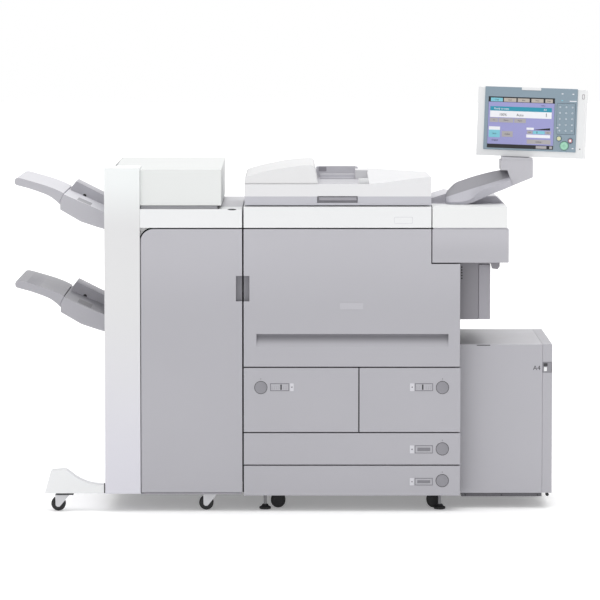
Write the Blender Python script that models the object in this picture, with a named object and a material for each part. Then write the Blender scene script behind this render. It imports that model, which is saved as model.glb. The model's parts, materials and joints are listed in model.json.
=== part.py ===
"""Production photocopier: main unit, stacking finisher on its left, paper deck on its right.

Metres, +Z up, the front faces -Y. While the pieces are made, y = 0 is the plane of the main
unit's front covers and x = 0 lies near its middle. An empty then carries the whole machine so
that the middle of its footprint stands over the origin, on z = 0.
"""
import math

import bmesh
import bpy
from mathutils import Matrix, Vector

# Fits and walls
RUN = 0.0003
SHADOW = 0.004
SHEET = 0.003
SKIN = 0.003
PANEL = 0.022
PANEL_BACK_GAP = 0.004
OVERCUT = 0.002

# Main unit
MAIN_LEFT = -0.181
MAIN_WIDTH = 0.697
STEP_WIDTH = 0.0944
DEPTH = 0.760
LOWER_CASSETTE = 0.0967
UPPER_CASSETTE = 0.1017
DECK_DRAWER = 0.2072
DOOR_HEIGHT = 0.4435
LEFT_DECK_WIDTH = 0.3686
READER_HEIGHT = 0.068
HOUSING_HEIGHT = 0.108
HOUSING_REACH = 0.154
COVER_INSET = 0.0044
COVER_DEPTH = 0.600
INNER_PLATE = 0.060
ENGINE_DEPTH = 0.370
REAR_COVER = 0.057
BEHIND_DRAWERS = 0.121
SCOOP_RISE = 0.0650
SCOOP_HEIGHT = 0.0406
SCOOP_DEEP = 0.013
HANDLE_HEIGHT = 0.0816
HANDLE_DROP = 0.1507
HANDLE_DEEP = 0.014

# Engine pieces
DRUM_RADIUS = 0.042
DRUM_SHAFT = 0.008
TONER_RADIUS = 0.050
ROLLER_RADIUS = 0.022
ROLLER_SHAFT = 0.006
NIP = 0.0005

# Document reader and feeder
GLASS_WIDTH = 0.480
GLASS_DEPTH = 0.320
GLASS_THICK = 0.0037
FEEDER_DEPTH = 0.520
FEEDER_FRONT = 0.008
FEEDER_LIP = 0.068
FEED_COVER_WIDTH = 0.236
HUMP_HEIGHT = 0.060
TRAY_WIDTH = 0.160

# Finisher
FINISHER_WIDTH = 0.442
COLUMN_WIDTH = 0.114
COLUMN_DEPTH = 0.140
COLUMN_OVER_HOOD = 0.0069
MAST_WIDTH = 0.028
FINISHER_DEPTH = 0.720
FINISHER_COVER = 0.060
HOOD_INSET = 0.067
HOOD_HEIGHT = 0.115
HOOD_RISE = 0.007
HOOD_LIFT = 0.011
DOOR_CORNER = 0.042
TRAY_SPACING = 0.334
TRAY_FRONT = 0.150
TRAY_DEPTH = 0.450
TRAY_DROP = 0.2084
TRAY_TRAVEL = 0.300
FOOT_THICK = 0.045
FOOT_FRONT = 0.005
DOCK_FRONT = 0.120
DOCK_DEPTH = 0.450
DOCK_DROP = 0.2131
DOCK_HEIGHT = 0.060

# Side deck
SIDE_WIDTH = 0.3007
SIDE_FRONT = 0.080
SIDE_DEPTH = 0.540
SIDE_BASE = 0.050
SIDE_HEIGHT = 0.484
SIDE_COVER = 0.0314
SIDE_SEAM = 0.0006
PATH_LEFT_WIDTH = 0.059
PATH_DOOR_WIDTH = 0.0385
PATH_FRONT = 0.050
PATH_DEPTH = 0.588
PATH_HEIGHT = 0.1871
PATH_DOOR_DROP = 0.0086
BRACKET_THICK = 0.030

# Casters, feet and buttons
CASTER_RADIUS = 0.0235
CASTER_WIDTH = 0.022
CASTER_TRAIL = 0.0215
CASTER_PIN = 0.004
CASTER_ROOM = 0.011
FORK_CHEEK = 0.003
FORK_PLATE = 0.005
TWIN_RADIUS = 0.024
TWIN_WIDTH = 0.016
TWIN_WEB = 0.008
TWIN_HUB = 0.006
TWIN_ROOM = 0.004
FOOT_RADIUS = 0.019
FOOT_SCREW = 0.005
HINGE_PIN = 0.0025
HINGE_REACH = 0.012
HINGE_GAP = 0.0009
BUTTON_RADIUS = 0.0198
BUTTON_LENGTH = 0.0155
BUTTON_PROUD = 0.0015
BUTTON_TRAVEL = 0.003
BUTTON_FIT = 0.0006

# Control panel, in its own frame: u to the right, v out of the back, w up
PANEL_WIDTH = 0.357
PANEL_HEIGHT = 0.222
PANEL_THICK = 0.038
PANEL_YAW = math.radians(-18.0)
PANEL_TILT = math.radians(-3.0)
PANEL_LEAN = math.radians(1.3)
BEZEL_THICK = 0.004
BEZEL_WIDTH = 0.3087
BEZEL_HEIGHT = 0.2046
BEZEL_RISE = 0.0113
SCREEN_WIDTH = 0.2215
SCREEN_HEIGHT = 0.166
START_RADIUS = 0.014
SMALL_KEY = 0.0078
PIVOT_RADIUS = 0.014
PIVOT_PIN = 0.005

# Levels and edges that follow from the sizes above
BASE = 2 * TWIN_RADIUS + TWIN_ROOM
FRAME_FRONT = PANEL + PANEL_BACK_GAP
CABINET_BACK = DEPTH - REAR_COVER
DRAWER_BACK = CABINET_BACK - BEHIND_DRAWERS
MAIN_RIGHT = MAIN_LEFT + MAIN_WIDTH
BAND_RIGHT = MAIN_RIGHT - STEP_WIDTH
UPPER_BASE = BASE + LOWER_CASSETTE + SHADOW
DECK_BASE = UPPER_BASE + UPPER_CASSETTE + SHADOW
DOOR_BASE = DECK_BASE + DECK_DRAWER + SHADOW
DOOR_TOP = DOOR_BASE + DOOR_HEIGHT
READER_BASE = DOOR_TOP + SHADOW
READER_TOP = READER_BASE + READER_HEIGHT
FRAME_TOP = READER_BASE - RUN
HOUSING_LEFT = BAND_RIGHT + 0.003
HOUSING_RIGHT = MAIN_RIGHT + HOUSING_REACH
COVER_RIGHT = HOUSING_RIGHT - COVER_INSET
HOUSING_BASE = DOOR_TOP - HOUSING_HEIGHT
STEP_TOP = HOUSING_BASE - RUN
NOTCH_TOP = HOUSING_BASE - SHADOW
DECK_SPLIT = MAIN_LEFT + LEFT_DECK_WIDTH + SHADOW / 2
FEEDER_BASE = READER_TOP + SHADOW
FEEDER_BACK = FEEDER_FRONT + FEEDER_DEPTH
LIP_TOP = FEEDER_BASE + FEEDER_LIP
FEEDER_LEFT = MAIN_LEFT + 0.003
FEEDER_RIGHT = BAND_RIGHT - 0.0006
COVER_EDGE = FEEDER_LEFT + FEED_COVER_WIDTH
FINISHER_RIGHT = MAIN_LEFT - 0.005
FINISHER_BASE = 2 * CASTER_RADIUS + CASTER_ROOM
FINISHER_TOP = READER_BASE + FINISHER_COVER
COLUMN_LEFT = FINISHER_RIGHT - FINISHER_WIDTH
COLUMN_RIGHT = COLUMN_LEFT + COLUMN_WIDTH
MAST_RIGHT = COLUMN_LEFT + MAST_WIDTH
HOOD_BASE = FINISHER_TOP + HOOD_LIFT
HOOD_TOP = HOOD_BASE + HOOD_HEIGHT
HOOD_RIGHT = FINISHER_RIGHT - HOOD_INSET
COLUMN_TOP = HOOD_TOP + COLUMN_OVER_HOOD
TRAY_ROOT = COLUMN_TOP - TRAY_DROP
SIDE_LEFT = MAIN_RIGHT + RUN
SIDE_RIGHT = SIDE_LEFT + SIDE_WIDTH
SIDE_TOP = SIDE_BASE + SIDE_HEIGHT
SIDE_SPLIT = SIDE_RIGHT - SIDE_COVER - SIDE_SEAM
PATH_SPLIT = SIDE_LEFT + PATH_LEFT_WIDTH
PATH_BASE = HOUSING_BASE - PATH_HEIGHT
PATH_DOOR_TOP = HOUSING_BASE - PATH_DOOR_DROP
ENGINE_BACK = INNER_PLATE + SHEET + ENGINE_DEPTH

DOOR_HINGE = (MAIN_RIGHT - 0.006, PANEL / 2)
TONER_PLACE = (MAIN_LEFT + 0.096, DOOR_TOP - 0.1131)
DRUM_PLACE = (MAIN_LEFT + 0.291, DOOR_TOP - 0.1931)
HEAT_PLACE = (MAIN_LEFT + 0.511, HOUSING_BASE - 0.0901)
PRESSURE_PLACE = (HEAT_PLACE[0], HEAT_PLACE[1] - 2 * ROLLER_RADIUS - NIP)
ARM_PIVOT = (HOUSING_LEFT + 0.0954, 0.162)
PANEL_PLACE = (ARM_PIVOT[0] + 0.227, ARM_PIVOT[1] + 0.003, READER_TOP + 0.2629)

PLANES = {"X": (1, 2, 0), "Y": (0, 2, 1), "Z": (0, 1, 2)}


def clear_scene():
    for item in list(bpy.data.objects):
        bpy.data.objects.remove(item)


def finish_material(name, color, roughness, metallic=0.0):
    material = bpy.data.materials.get(name) or bpy.data.materials.new(name)
    material.use_nodes = True
    shader = material.node_tree.nodes["Principled BSDF"]
    shader.inputs["Base Color"].default_value = (*color, 1.0)
    shader.inputs["Roughness"].default_value = roughness
    shader.inputs["Metallic"].default_value = metallic
    return material


def grey_plastic():
    return finish_material("grey_plastic", (0.46, 0.455, 0.49), 0.5)


def white_plastic():
    return finish_material("white_plastic", (0.80, 0.80, 0.79), 0.45)


def pale_plastic():
    return finish_material("pale_plastic", (0.66, 0.65, 0.70), 0.5)


def dark_plastic():
    return finish_material("dark_plastic", (0.23, 0.225, 0.25), 0.5)


def zinc_sheet():
    return finish_material("zinc_sheet", (0.62, 0.63, 0.64), 0.4, 0.9)


def steel():
    return finish_material("steel", (0.60, 0.60, 0.61), 0.3, 1.0)


def black_rubber():
    return finish_material("black_rubber", (0.02, 0.02, 0.022), 0.7)


def blue_bezel():
    return finish_material("blue_bezel", (0.24, 0.32, 0.39), 0.45)


def box(low, high):
    """A box between two corners."""
    shape = bmesh.new()
    size = Vector(high) - Vector(low)
    centre = (Vector(high) + Vector(low)) / 2
    place = Matrix.Translation(centre) @ Matrix.Diagonal((*size, 1.0))
    bmesh.ops.create_cube(shape, size=1.0, matrix=place)
    return shape


def ring_points(centre, radius, sides):
    step = 2 * math.pi / sides
    return [
        (centre[0] + radius * math.cos(step * i), centre[1] + radius * math.sin(step * i))
        for i in range(sides)
    ]


def prism(outline, axis, start, end):
    """An outline in the plane across the axis, drawn from start to end along it."""
    first, second, along = PLANES[axis]
    shape = bmesh.new()
    rings = []
    for level in (start, end):
        ring = []
        for point in outline:
            place = [0.0, 0.0, 0.0]
            place[first], place[second], place[along] = point[0], point[1], level
            ring.append(shape.verts.new(place))
        rings.append(ring)
    shape.faces.new(rings[0])
    shape.faces.new(rings[1])
    for i in range(len(outline)):
        j = (i + 1) % len(outline)
        shape.faces.new((rings[0][i], rings[0][j], rings[1][j], rings[1][i]))
    return shape


def eased(points, steps):
    """More points along a smooth line through the given ones, which stay where they are."""
    ends = [points[0], *points, points[-1]]
    line = []
    for before, here, after, beyond in zip(ends, ends[1:], ends[2:], ends[3:]):
        for i in range(steps):
            t = i / steps
            line.append(tuple(
                0.5 * (
                    2 * b + (c - a) * t + (2 * a - 5 * b + 4 * c - d) * t ** 2
                    + (3 * b - a - 3 * c + d) * t ** 3
                )
                for a, b, c, d in zip(before, here, after, beyond)
            ))
    return [*line, tuple(points[-1])]


def loft(sections):
    """A closed skin through sections of equal point count."""
    shape = bmesh.new()
    rings = [[shape.verts.new(point) for point in section] for section in sections]
    shape.faces.new(rings[0])
    shape.faces.new(rings[-1])
    for ring, following in zip(rings, rings[1:]):
        for i in range(len(ring)):
            j = (i + 1) % len(ring)
            shape.faces.new((ring[i], ring[j], following[j], following[i]))
    return shape


def rod(centre, axis, radius, start, end, sides=16):
    return prism(ring_points(centre, radius, sides), axis, start, end)


def turned(centre, axis, steps, sides=16):
    """A turned piece: steps are (position along the axis, radius) from one end to the other."""
    first, second, along = PLANES[axis]
    sections = []
    for level, radius in steps:
        section = []
        for point in ring_points(centre, radius, sides):
            place = [0.0, 0.0, 0.0]
            place[first], place[second], place[along] = point[0], point[1], level
            section.append(place)
        sections.append(section)
    return loft(sections)


def hole_radius(shaft, clearance, sides=16):
    """The corner radius of a faceted hole whose flats clear a shaft."""
    return (shaft + clearance) / math.cos(math.pi / sides)


def together(*shapes):
    """Several closed shapes in one mesh, for a tool that acts in many places."""
    merged = bmesh.new()
    for shape in shapes:
        mesh = bpy.data.meshes.new("passing")
        shape.to_mesh(mesh)
        shape.free()
        merged.from_mesh(mesh)
        bpy.data.meshes.remove(mesh)
    return merged


def to_mesh(name, shape, pivot):
    bmesh.ops.recalc_face_normals(shape, faces=shape.faces)
    bmesh.ops.translate(shape, verts=shape.verts, vec=-Vector(pivot))
    mesh = bpy.data.meshes.new(name)
    shape.to_mesh(mesh)
    shape.free()
    return mesh


def piece(name, shape, material, pivot=(0.0, 0.0, 0.0)):
    """A named piece whose origin is its pivot."""
    item = bpy.data.objects.new(name, to_mesh(name, shape, pivot))
    item.location = pivot
    item.data.materials.append(material)
    bpy.context.scene.collection.objects.link(item)
    return item


def shape_with(item, shape, operation):
    tool = bpy.data.objects.new(f"{item.name}_tool", to_mesh(item.name, shape, item.location))
    tool.location = item.location
    tool.hide_render = True
    tool.display_type = "WIRE"
    bpy.context.scene.collection.objects.link(tool)
    modifier = item.modifiers.new(operation.lower(), "BOOLEAN")
    modifier.operation = operation
    modifier.object = tool
    return item


def cut(item, *shapes):
    return shape_with(item, together(*shapes), "DIFFERENCE")


def join(item, *shapes):
    for shape in shapes:
        shape_with(item, shape, "UNION")
    return item


def smooth(item):
    item.data.shade_smooth()
    item.data.set_sharp_from_angle(angle=math.radians(35))
    return item


def step_outline(inset=0.0):
    """The main unit seen from the front: full width below the step, narrower above it."""
    left = MAIN_LEFT + inset
    return [
        (left, BASE + inset),
        (MAIN_RIGHT - inset, BASE + inset),
        (MAIN_RIGHT - inset, STEP_TOP - inset),
        (BAND_RIGHT - inset, STEP_TOP - inset),
        (BAND_RIGHT - inset, FRAME_TOP - inset),
        (left, FRAME_TOP - inset),
    ]


def engine_outline():
    left = MAIN_LEFT + SHEET
    return [
        (left, DOOR_BASE - SHADOW / 2 + SHEET / 2),
        (MAIN_RIGHT - SHEET, DOOR_BASE - SHADOW / 2 + SHEET / 2),
        (MAIN_RIGHT - SHEET, STEP_TOP - SHEET),
        (BAND_RIGHT - SHEET, STEP_TOP - SHEET),
        (BAND_RIGHT - SHEET, FRAME_TOP - SHEET),
        (left, FRAME_TOP - SHEET),
    ]


def shelf(level):
    """Top of the shelf under the front cover whose lower edge is at this level."""
    return level - SHADOW / 2 + SHEET / 2


def bay(left, right, floor, ceiling):
    return box(
        (left, FRAME_FRONT - OVERCUT, floor), (right, CABINET_BACK - SHEET, ceiling)
    )


MAIN_CASTERS = [
    (x, y) for y in (0.108, CABINET_BACK - 0.063) for x in (MAIN_LEFT + 0.110, MAIN_RIGHT - 0.081)
]
LEVELLING_FEET = [(MAIN_LEFT + 0.068, 0.062), (MAIN_RIGHT - 0.0633, 0.062)]


def caster_web(x, y):
    """The plate between a twin caster's wheels, hanging from the base of the cabinet."""
    outline = [
        (x - TWIN_RADIUS, BASE + SHEET / 2), (x - TWIN_RADIUS, BASE - 0.010),
        (x - 0.010, TWIN_RADIUS - 0.010), (x + 0.010, TWIN_RADIUS - 0.010),
        (x + TWIN_RADIUS, BASE - 0.010), (x + TWIN_RADIUS, BASE + SHEET / 2),
    ]
    return prism(outline, "Y", y - TWIN_WEB / 2, y + TWIN_WEB / 2)


def hinge_bracket(place, level, side):
    """A lug that reaches under (side -1) or over (side 1) a door, and its pin."""
    x, y = place
    near, far = level + side * HINGE_GAP, level + side * (SHADOW - HINGE_GAP)
    low, high = min(near, far), max(near, far)
    lug = box((x - 0.006, y - 0.005, low), (x + 0.004, FRAME_FRONT + SHEET, high))
    pin = rod(place, "Z", HINGE_PIN, *sorted((level - side * HINGE_REACH, near + side * RUN)), 8)
    return lug, pin


def hinge_hole(place, level, side):
    reach = sorted((level - side * (HINGE_REACH + RUN), level + side * OVERCUT))
    return rod(place, "Z", hole_radius(HINGE_PIN, RUN, 8), *reach, 8)


def make_main_frame():
    frame = piece(
        "main_frame", prism(step_outline(), "Y", FRAME_FRONT, CABINET_BACK), zinc_sheet()
    )
    join(frame, together(*[caster_web(x, y) for x, y in MAIN_CASTERS]))
    for level, side in ((DOOR_BASE, -1), (NOTCH_TOP, 1)):
        join(frame, *hinge_bracket(DOOR_HINGE, level, side))
    left, right = MAIN_LEFT + SHEET, MAIN_RIGHT - SHEET
    deck_top = shelf(DOOR_BASE) - SHEET
    cut(
        frame,
        bay(left, right, BASE + SHEET, shelf(UPPER_BASE) - SHEET),
        bay(left, right, shelf(UPPER_BASE), shelf(DECK_BASE) - SHEET),
        bay(left, DECK_SPLIT - SHEET / 2, shelf(DECK_BASE), deck_top),
        bay(DECK_SPLIT + SHEET / 2, right, shelf(DECK_BASE), deck_top),
        prism(engine_outline(), "Y", FRAME_FRONT - OVERCUT, INNER_PLATE),
        prism(engine_outline(), "Y", INNER_PLATE + SHEET, ENGINE_BACK),
        prism(engine_outline(), "Y", ENGINE_BACK + SHEET, CABINET_BACK + OVERCUT),
    )
    through = (INNER_PLATE - OVERCUT, ENGINE_BACK + SHEET + OVERCUT)
    toner_end = INNER_PLATE + SHEET + OVERCUT
    toner_hole = hole_radius(TONER_RADIUS, RUN, 24)
    cut(
        frame,
        rod(TONER_PLACE, "Y", toner_hole, through[0], toner_end, 24),
        rod(DRUM_PLACE, "Y", hole_radius(DRUM_SHAFT, RUN), *through),
        rod(HEAT_PLACE, "Y", hole_radius(ROLLER_SHAFT, RUN), *through),
        rod(PRESSURE_PLACE, "Y", hole_radius(ROLLER_SHAFT, RUN), *through),
        *[
            rod((x, TWIN_RADIUS), "Y", hole_radius(TWIN_HUB, RUN), y - TWIN_WEB, y + TWIN_WEB)
            for x, y in MAIN_CASTERS
        ],
    )


VENT_DROP = 0.0598
VENT_PITCH = 0.025


def make_rear_cover():
    cover = piece(
        "rear_cover", prism(step_outline(), "Y", CABINET_BACK + RUN, DEPTH), grey_plastic()
    )
    cut(cover, prism(step_outline(SKIN), "Y", CABINET_BACK - OVERCUT, DEPTH - SKIN))
    cut(cover, *[
        box(
            (MAIN_LEFT + 0.08, DEPTH - 2 * SKIN, STEP_TOP - VENT_DROP - VENT_PITCH * row),
            (MAIN_LEFT + 0.30, DEPTH + OVERCUT, STEP_TOP - VENT_DROP + 0.012 - VENT_PITCH * row),
        )
        for row in range(6)
    ])


def make_engine():
    smooth(piece(
        "photo_drum",
        turned(DRUM_PLACE, "Y", [
            (INNER_PLATE - 0.012, DRUM_SHAFT), (INNER_PLATE + 0.012, DRUM_SHAFT),
            (INNER_PLATE + 0.012, DRUM_RADIUS), (ENGINE_BACK - 0.030, DRUM_RADIUS),
            (ENGINE_BACK - 0.030, DRUM_SHAFT), (ENGINE_BACK + 0.025, DRUM_SHAFT),
        ], 20),
        finish_material("drum_green", (0.05, 0.30, 0.22), 0.2, 0.2),
        (DRUM_PLACE[0], INNER_PLATE, DRUM_PLACE[1]),
    ))
    front = FRAME_FRONT + 0.0005
    bottle = smooth(piece(
        "toner_bottle",
        turned(TONER_PLACE, "Y", [
            (front + 0.002, 0.030), (front + 0.0135, 0.030), (front + 0.0135, TONER_RADIUS - 0.006),
            (front + 0.0215, TONER_RADIUS), (ENGINE_BACK - 0.060, TONER_RADIUS),
            (ENGINE_BACK - 0.045, 0.030),
        ], 20),
        finish_material("toner_black", (0.03, 0.03, 0.035), 0.4),
        (TONER_PLACE[0], INNER_PLATE, TONER_PLACE[1]),
    ))
    grip = box(
        (TONER_PLACE[0] - 0.024, front, TONER_PLACE[1] - 0.005),
        (TONER_PLACE[0] + 0.024, front + 0.0055, TONER_PLACE[1] + 0.005),
    )
    join(bottle, grip)
    for name, place, color in (
        ("heat_roller", HEAT_PLACE, (0.12, 0.11, 0.11)),
        ("pressure_roller", PRESSURE_PLACE, (0.45, 0.16, 0.08)),
    ):
        smooth(piece(
            name,
            turned(place, "Y", [
                (INNER_PLATE - 0.014, ROLLER_SHAFT), (INNER_PLATE + 0.010, ROLLER_SHAFT),
                (INNER_PLATE + 0.010, ROLLER_RADIUS), (ENGINE_BACK - 0.020, ROLLER_RADIUS),
                (ENGINE_BACK - 0.020, ROLLER_SHAFT), (ENGINE_BACK + 0.020, ROLLER_SHAFT),
            ]),
            finish_material(name, color, 0.35),
            (place[0], INNER_PLATE, place[1]),
        ))


FINISHER_HINGE_INSET = 0.006
HANDLE_LEFT = FINISHER_RIGHT - 0.0198
HANDLE_RIGHT = MAIN_LEFT + 0.0184
HANDLE_HIGH = DOOR_TOP - HANDLE_DROP
SCOOP_LOW = DOOR_BASE + SCOOP_RISE
SCOOP_HIGH = SCOOP_LOW + SCOOP_HEIGHT
DOOR_RIM = 0.006


def handle_pocket():
    return box(
        (HANDLE_LEFT, -OVERCUT, HANDLE_HIGH - HANDLE_HEIGHT), (HANDLE_RIGHT, HANDLE_DEEP, HANDLE_HIGH)
    )


def make_front_door():
    right = MAIN_RIGHT - 0.0015
    outline = [
        (MAIN_LEFT, DOOR_BASE), (right, DOOR_BASE), (right, NOTCH_TOP),
        (BAND_RIGHT, NOTCH_TOP), (BAND_RIGHT, DOOR_TOP), (MAIN_LEFT, DOOR_TOP),
    ]
    door = piece(
        "front_door", prism(outline, "Y", 0.0, PANEL), grey_plastic(), (*DOOR_HINGE, DOOR_BASE)
    )
    scoop = [
        (-OVERCUT, SCOOP_LOW - 0.003), (0.0, SCOOP_LOW), (SCOOP_DEEP, SCOOP_HIGH - 0.006),
        (SCOOP_DEEP, SCOOP_HIGH), (-OVERCUT, SCOOP_HIGH),
    ]
    rim = HANDLE_RIGHT + DOOR_RIM
    hollow_back = PANEL + OVERCUT
    cut(
        door,
        handle_pocket(),
        hinge_hole(DOOR_HINGE, DOOR_BASE, -1),
        hinge_hole(DOOR_HINGE, NOTCH_TOP, 1),
        prism(scoop, "X", MAIN_LEFT + 0.041, MAIN_RIGHT - 0.0386),
        box((rim, SKIN, DOOR_BASE + DOOR_RIM), (right - 0.018, hollow_back, SCOOP_LOW - DOOR_RIM)),
        box(
            (rim, SKIN, SCOOP_HIGH + DOOR_RIM),
            (right - 0.018, hollow_back, NOTCH_TOP - DOOR_RIM),
        ),
        box(
            (rim, SKIN, NOTCH_TOP + DOOR_RIM),
            (BAND_RIGHT - DOOR_RIM, hollow_back, DOOR_TOP - DOOR_RIM),
        ),
    )


def corner_arc(centre, radius, start, end, steps=6):
    """Points on an arc between two angles in degrees."""
    turn = [math.radians(start + (end - start) * i / steps) for i in range(steps + 1)]
    return [(centre[0] + radius * math.cos(a), centre[1] + radius * math.sin(a)) for a in turn]


FINISHER_DOOR_LEFT = COLUMN_RIGHT + 0.0015
FINISHER_DOOR_BASE = FINISHER_BASE + SHADOW
FINISHER_HINGE = (FINISHER_DOOR_LEFT + FINISHER_HINGE_INSET, FINISHER_HINGE_INSET)


def make_finisher_door():
    left, base = FINISHER_DOOR_LEFT, FINISHER_DOOR_BASE
    outline = [(left, base), (FINISHER_RIGHT, base), (FINISHER_RIGHT, DOOR_TOP)]
    outline += corner_arc(
        (left + DOOR_CORNER, DOOR_TOP - DOOR_CORNER), DOOR_CORNER, 90, 180
    )
    door = piece(
        "finisher_door", prism(outline, "Y", 0.0, PANEL), grey_plastic(), (*FINISHER_HINGE, base)
    )
    corner = [
        (left - OVERCUT, -OVERCUT), (FINISHER_HINGE[0], -OVERCUT),
        *corner_arc(FINISHER_HINGE, FINISHER_HINGE_INSET, 270, 180, 4),
        (left - OVERCUT, FINISHER_HINGE[1]),
    ]
    cut(door, prism(corner, "Z", base - OVERCUT, DOOR_TOP + OVERCUT))
    cut(
        door,
        handle_pocket(),
        hinge_hole(FINISHER_HINGE, base, -1),
        box(
            (left + 3 * DOOR_RIM, SKIN, base + DOOR_RIM),
            (HANDLE_LEFT - DOOR_RIM, PANEL + OVERCUT, DOOR_TOP - DOOR_CORNER),
        ),
    )


def make_drawer(name, left, right, base, height, button_x, button_z):
    """A drawer with its front cover, open box and release button."""
    drawer = piece(
        name, box((left, 0.0, base), (right, PANEL, base + height)), grey_plastic(),
        (left, 0.0, base),
    )
    floor = shelf(base) if base > BASE else BASE + SHEET
    low = Vector((left + 0.008, PANEL - SKIN, floor + RUN))
    high = Vector((right - 0.008, DRAWER_BACK, base + height - 0.018))
    join(drawer, box(low, high))
    cut(drawer, box(
        (low.x + SKIN, PANEL, low.z + SKIN),
        (high.x - SKIN, high.y - SKIN, high.z + OVERCUT),
    ))
    bore = hole_radius(BUTTON_RADIUS, BUTTON_FIT, 24)
    depth = BUTTON_LENGTH - BUTTON_PROUD + BUTTON_TRAVEL + 0.001
    cut(drawer, rod((button_x, button_z), "Y", bore, -OVERCUT, depth, 24))
    smooth(piece(
        f"{name}_button",
        rod(
            (button_x, button_z), "Y", BUTTON_RADIUS, -BUTTON_PROUD,
            BUTTON_LENGTH - BUTTON_PROUD, 24,
        ),
        dark_plastic(),
        (button_x, 0.0, button_z),
    ))


def make_drawers():
    inset = 0.055
    right_button = MAIN_RIGHT - inset - 0.0024
    deck_button = DECK_BASE + DECK_DRAWER - 0.0632
    make_drawer(
        "left_deck", MAIN_LEFT, DECK_SPLIT - SHADOW / 2, DECK_BASE, DECK_DRAWER,
        MAIN_LEFT + inset, deck_button,
    )
    make_drawer(
        "right_deck", DECK_SPLIT + SHADOW / 2, MAIN_RIGHT, DECK_BASE, DECK_DRAWER,
        right_button, deck_button,
    )
    make_drawer(
        "upper_cassette", MAIN_LEFT, MAIN_RIGHT, UPPER_BASE, UPPER_CASSETTE,
        right_button, UPPER_BASE + UPPER_CASSETTE / 2,
    )
    make_drawer(
        "lower_cassette", MAIN_LEFT, MAIN_RIGHT, BASE, LOWER_CASSETTE,
        right_button, BASE + LOWER_CASSETTE / 2,
    )


GLASS_LEFT = MAIN_LEFT + 0.050
GLASS_FRONT = 0.065
GLASS_LEDGE = 0.006
READER_FLOOR = 0.008


def make_reader():
    back = CABINET_BACK - 0.013
    housing = piece(
        "reader_housing",
        box((MAIN_LEFT, 0.0, READER_BASE), (BAND_RIGHT, back, READER_TOP)),
        white_plastic(),
    )
    ledge_top = READER_TOP - GLASS_THICK - RUN
    floor = READER_BASE + READER_FLOOR
    glass_right, glass_back = GLASS_LEFT + GLASS_WIDTH, GLASS_FRONT + GLASS_DEPTH
    cut(housing, box(
        (MAIN_LEFT + 0.030, 0.035, floor), (BAND_RIGHT - 0.015, back - 0.020, ledge_top - 0.003)
    ))
    cut(housing, box(
        (GLASS_LEFT + GLASS_LEDGE, GLASS_FRONT + GLASS_LEDGE, floor + 0.010),
        (glass_right - GLASS_LEDGE, glass_back - GLASS_LEDGE, READER_TOP + OVERCUT),
    ))
    cut(housing, box(
        (GLASS_LEFT - RUN, GLASS_FRONT - RUN, ledge_top),
        (glass_right + RUN, glass_back + RUN, READER_TOP + OVERCUT),
    ))
    piece(
        "platen_glass",
        box((GLASS_LEFT, GLASS_FRONT, ledge_top + RUN), (glass_right, glass_back, READER_TOP)),
        finish_material("glass", (0.55, 0.62, 0.62), 0.05),
    )
    low, left = floor + RUN, GLASS_LEFT + 0.004
    carriage = [
        (left, low), (left + 0.050, low), (left + 0.050, low + 0.024), (left + 0.036, low + 0.038),
        (left + 0.014, low + 0.038), (left, low + 0.024),
    ]
    piece(
        "scan_carriage", prism(carriage, "Y", 0.045, back - 0.035), dark_plastic(),
        (left, 0.045, low),
    )


FEEDER_HINGE = (FEEDER_BACK, FEEDER_BASE)
TRAY_LEFT = COVER_EDGE + 0.004
WING_LEFT = TRAY_LEFT + TRAY_WIDTH
TRAY_FLOOR = LIP_TOP - 0.010
WING_FRONT = 0.026
WING_BACK = 0.014
PAD_RIM = 0.012
PAD_GAP = 0.0005
LEDGE_LEFT = WING_LEFT - 0.0385
LEDGE_FRONT = FEEDER_BACK - 0.125
TRAY_WALL = WING_FRONT + 0.007


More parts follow.
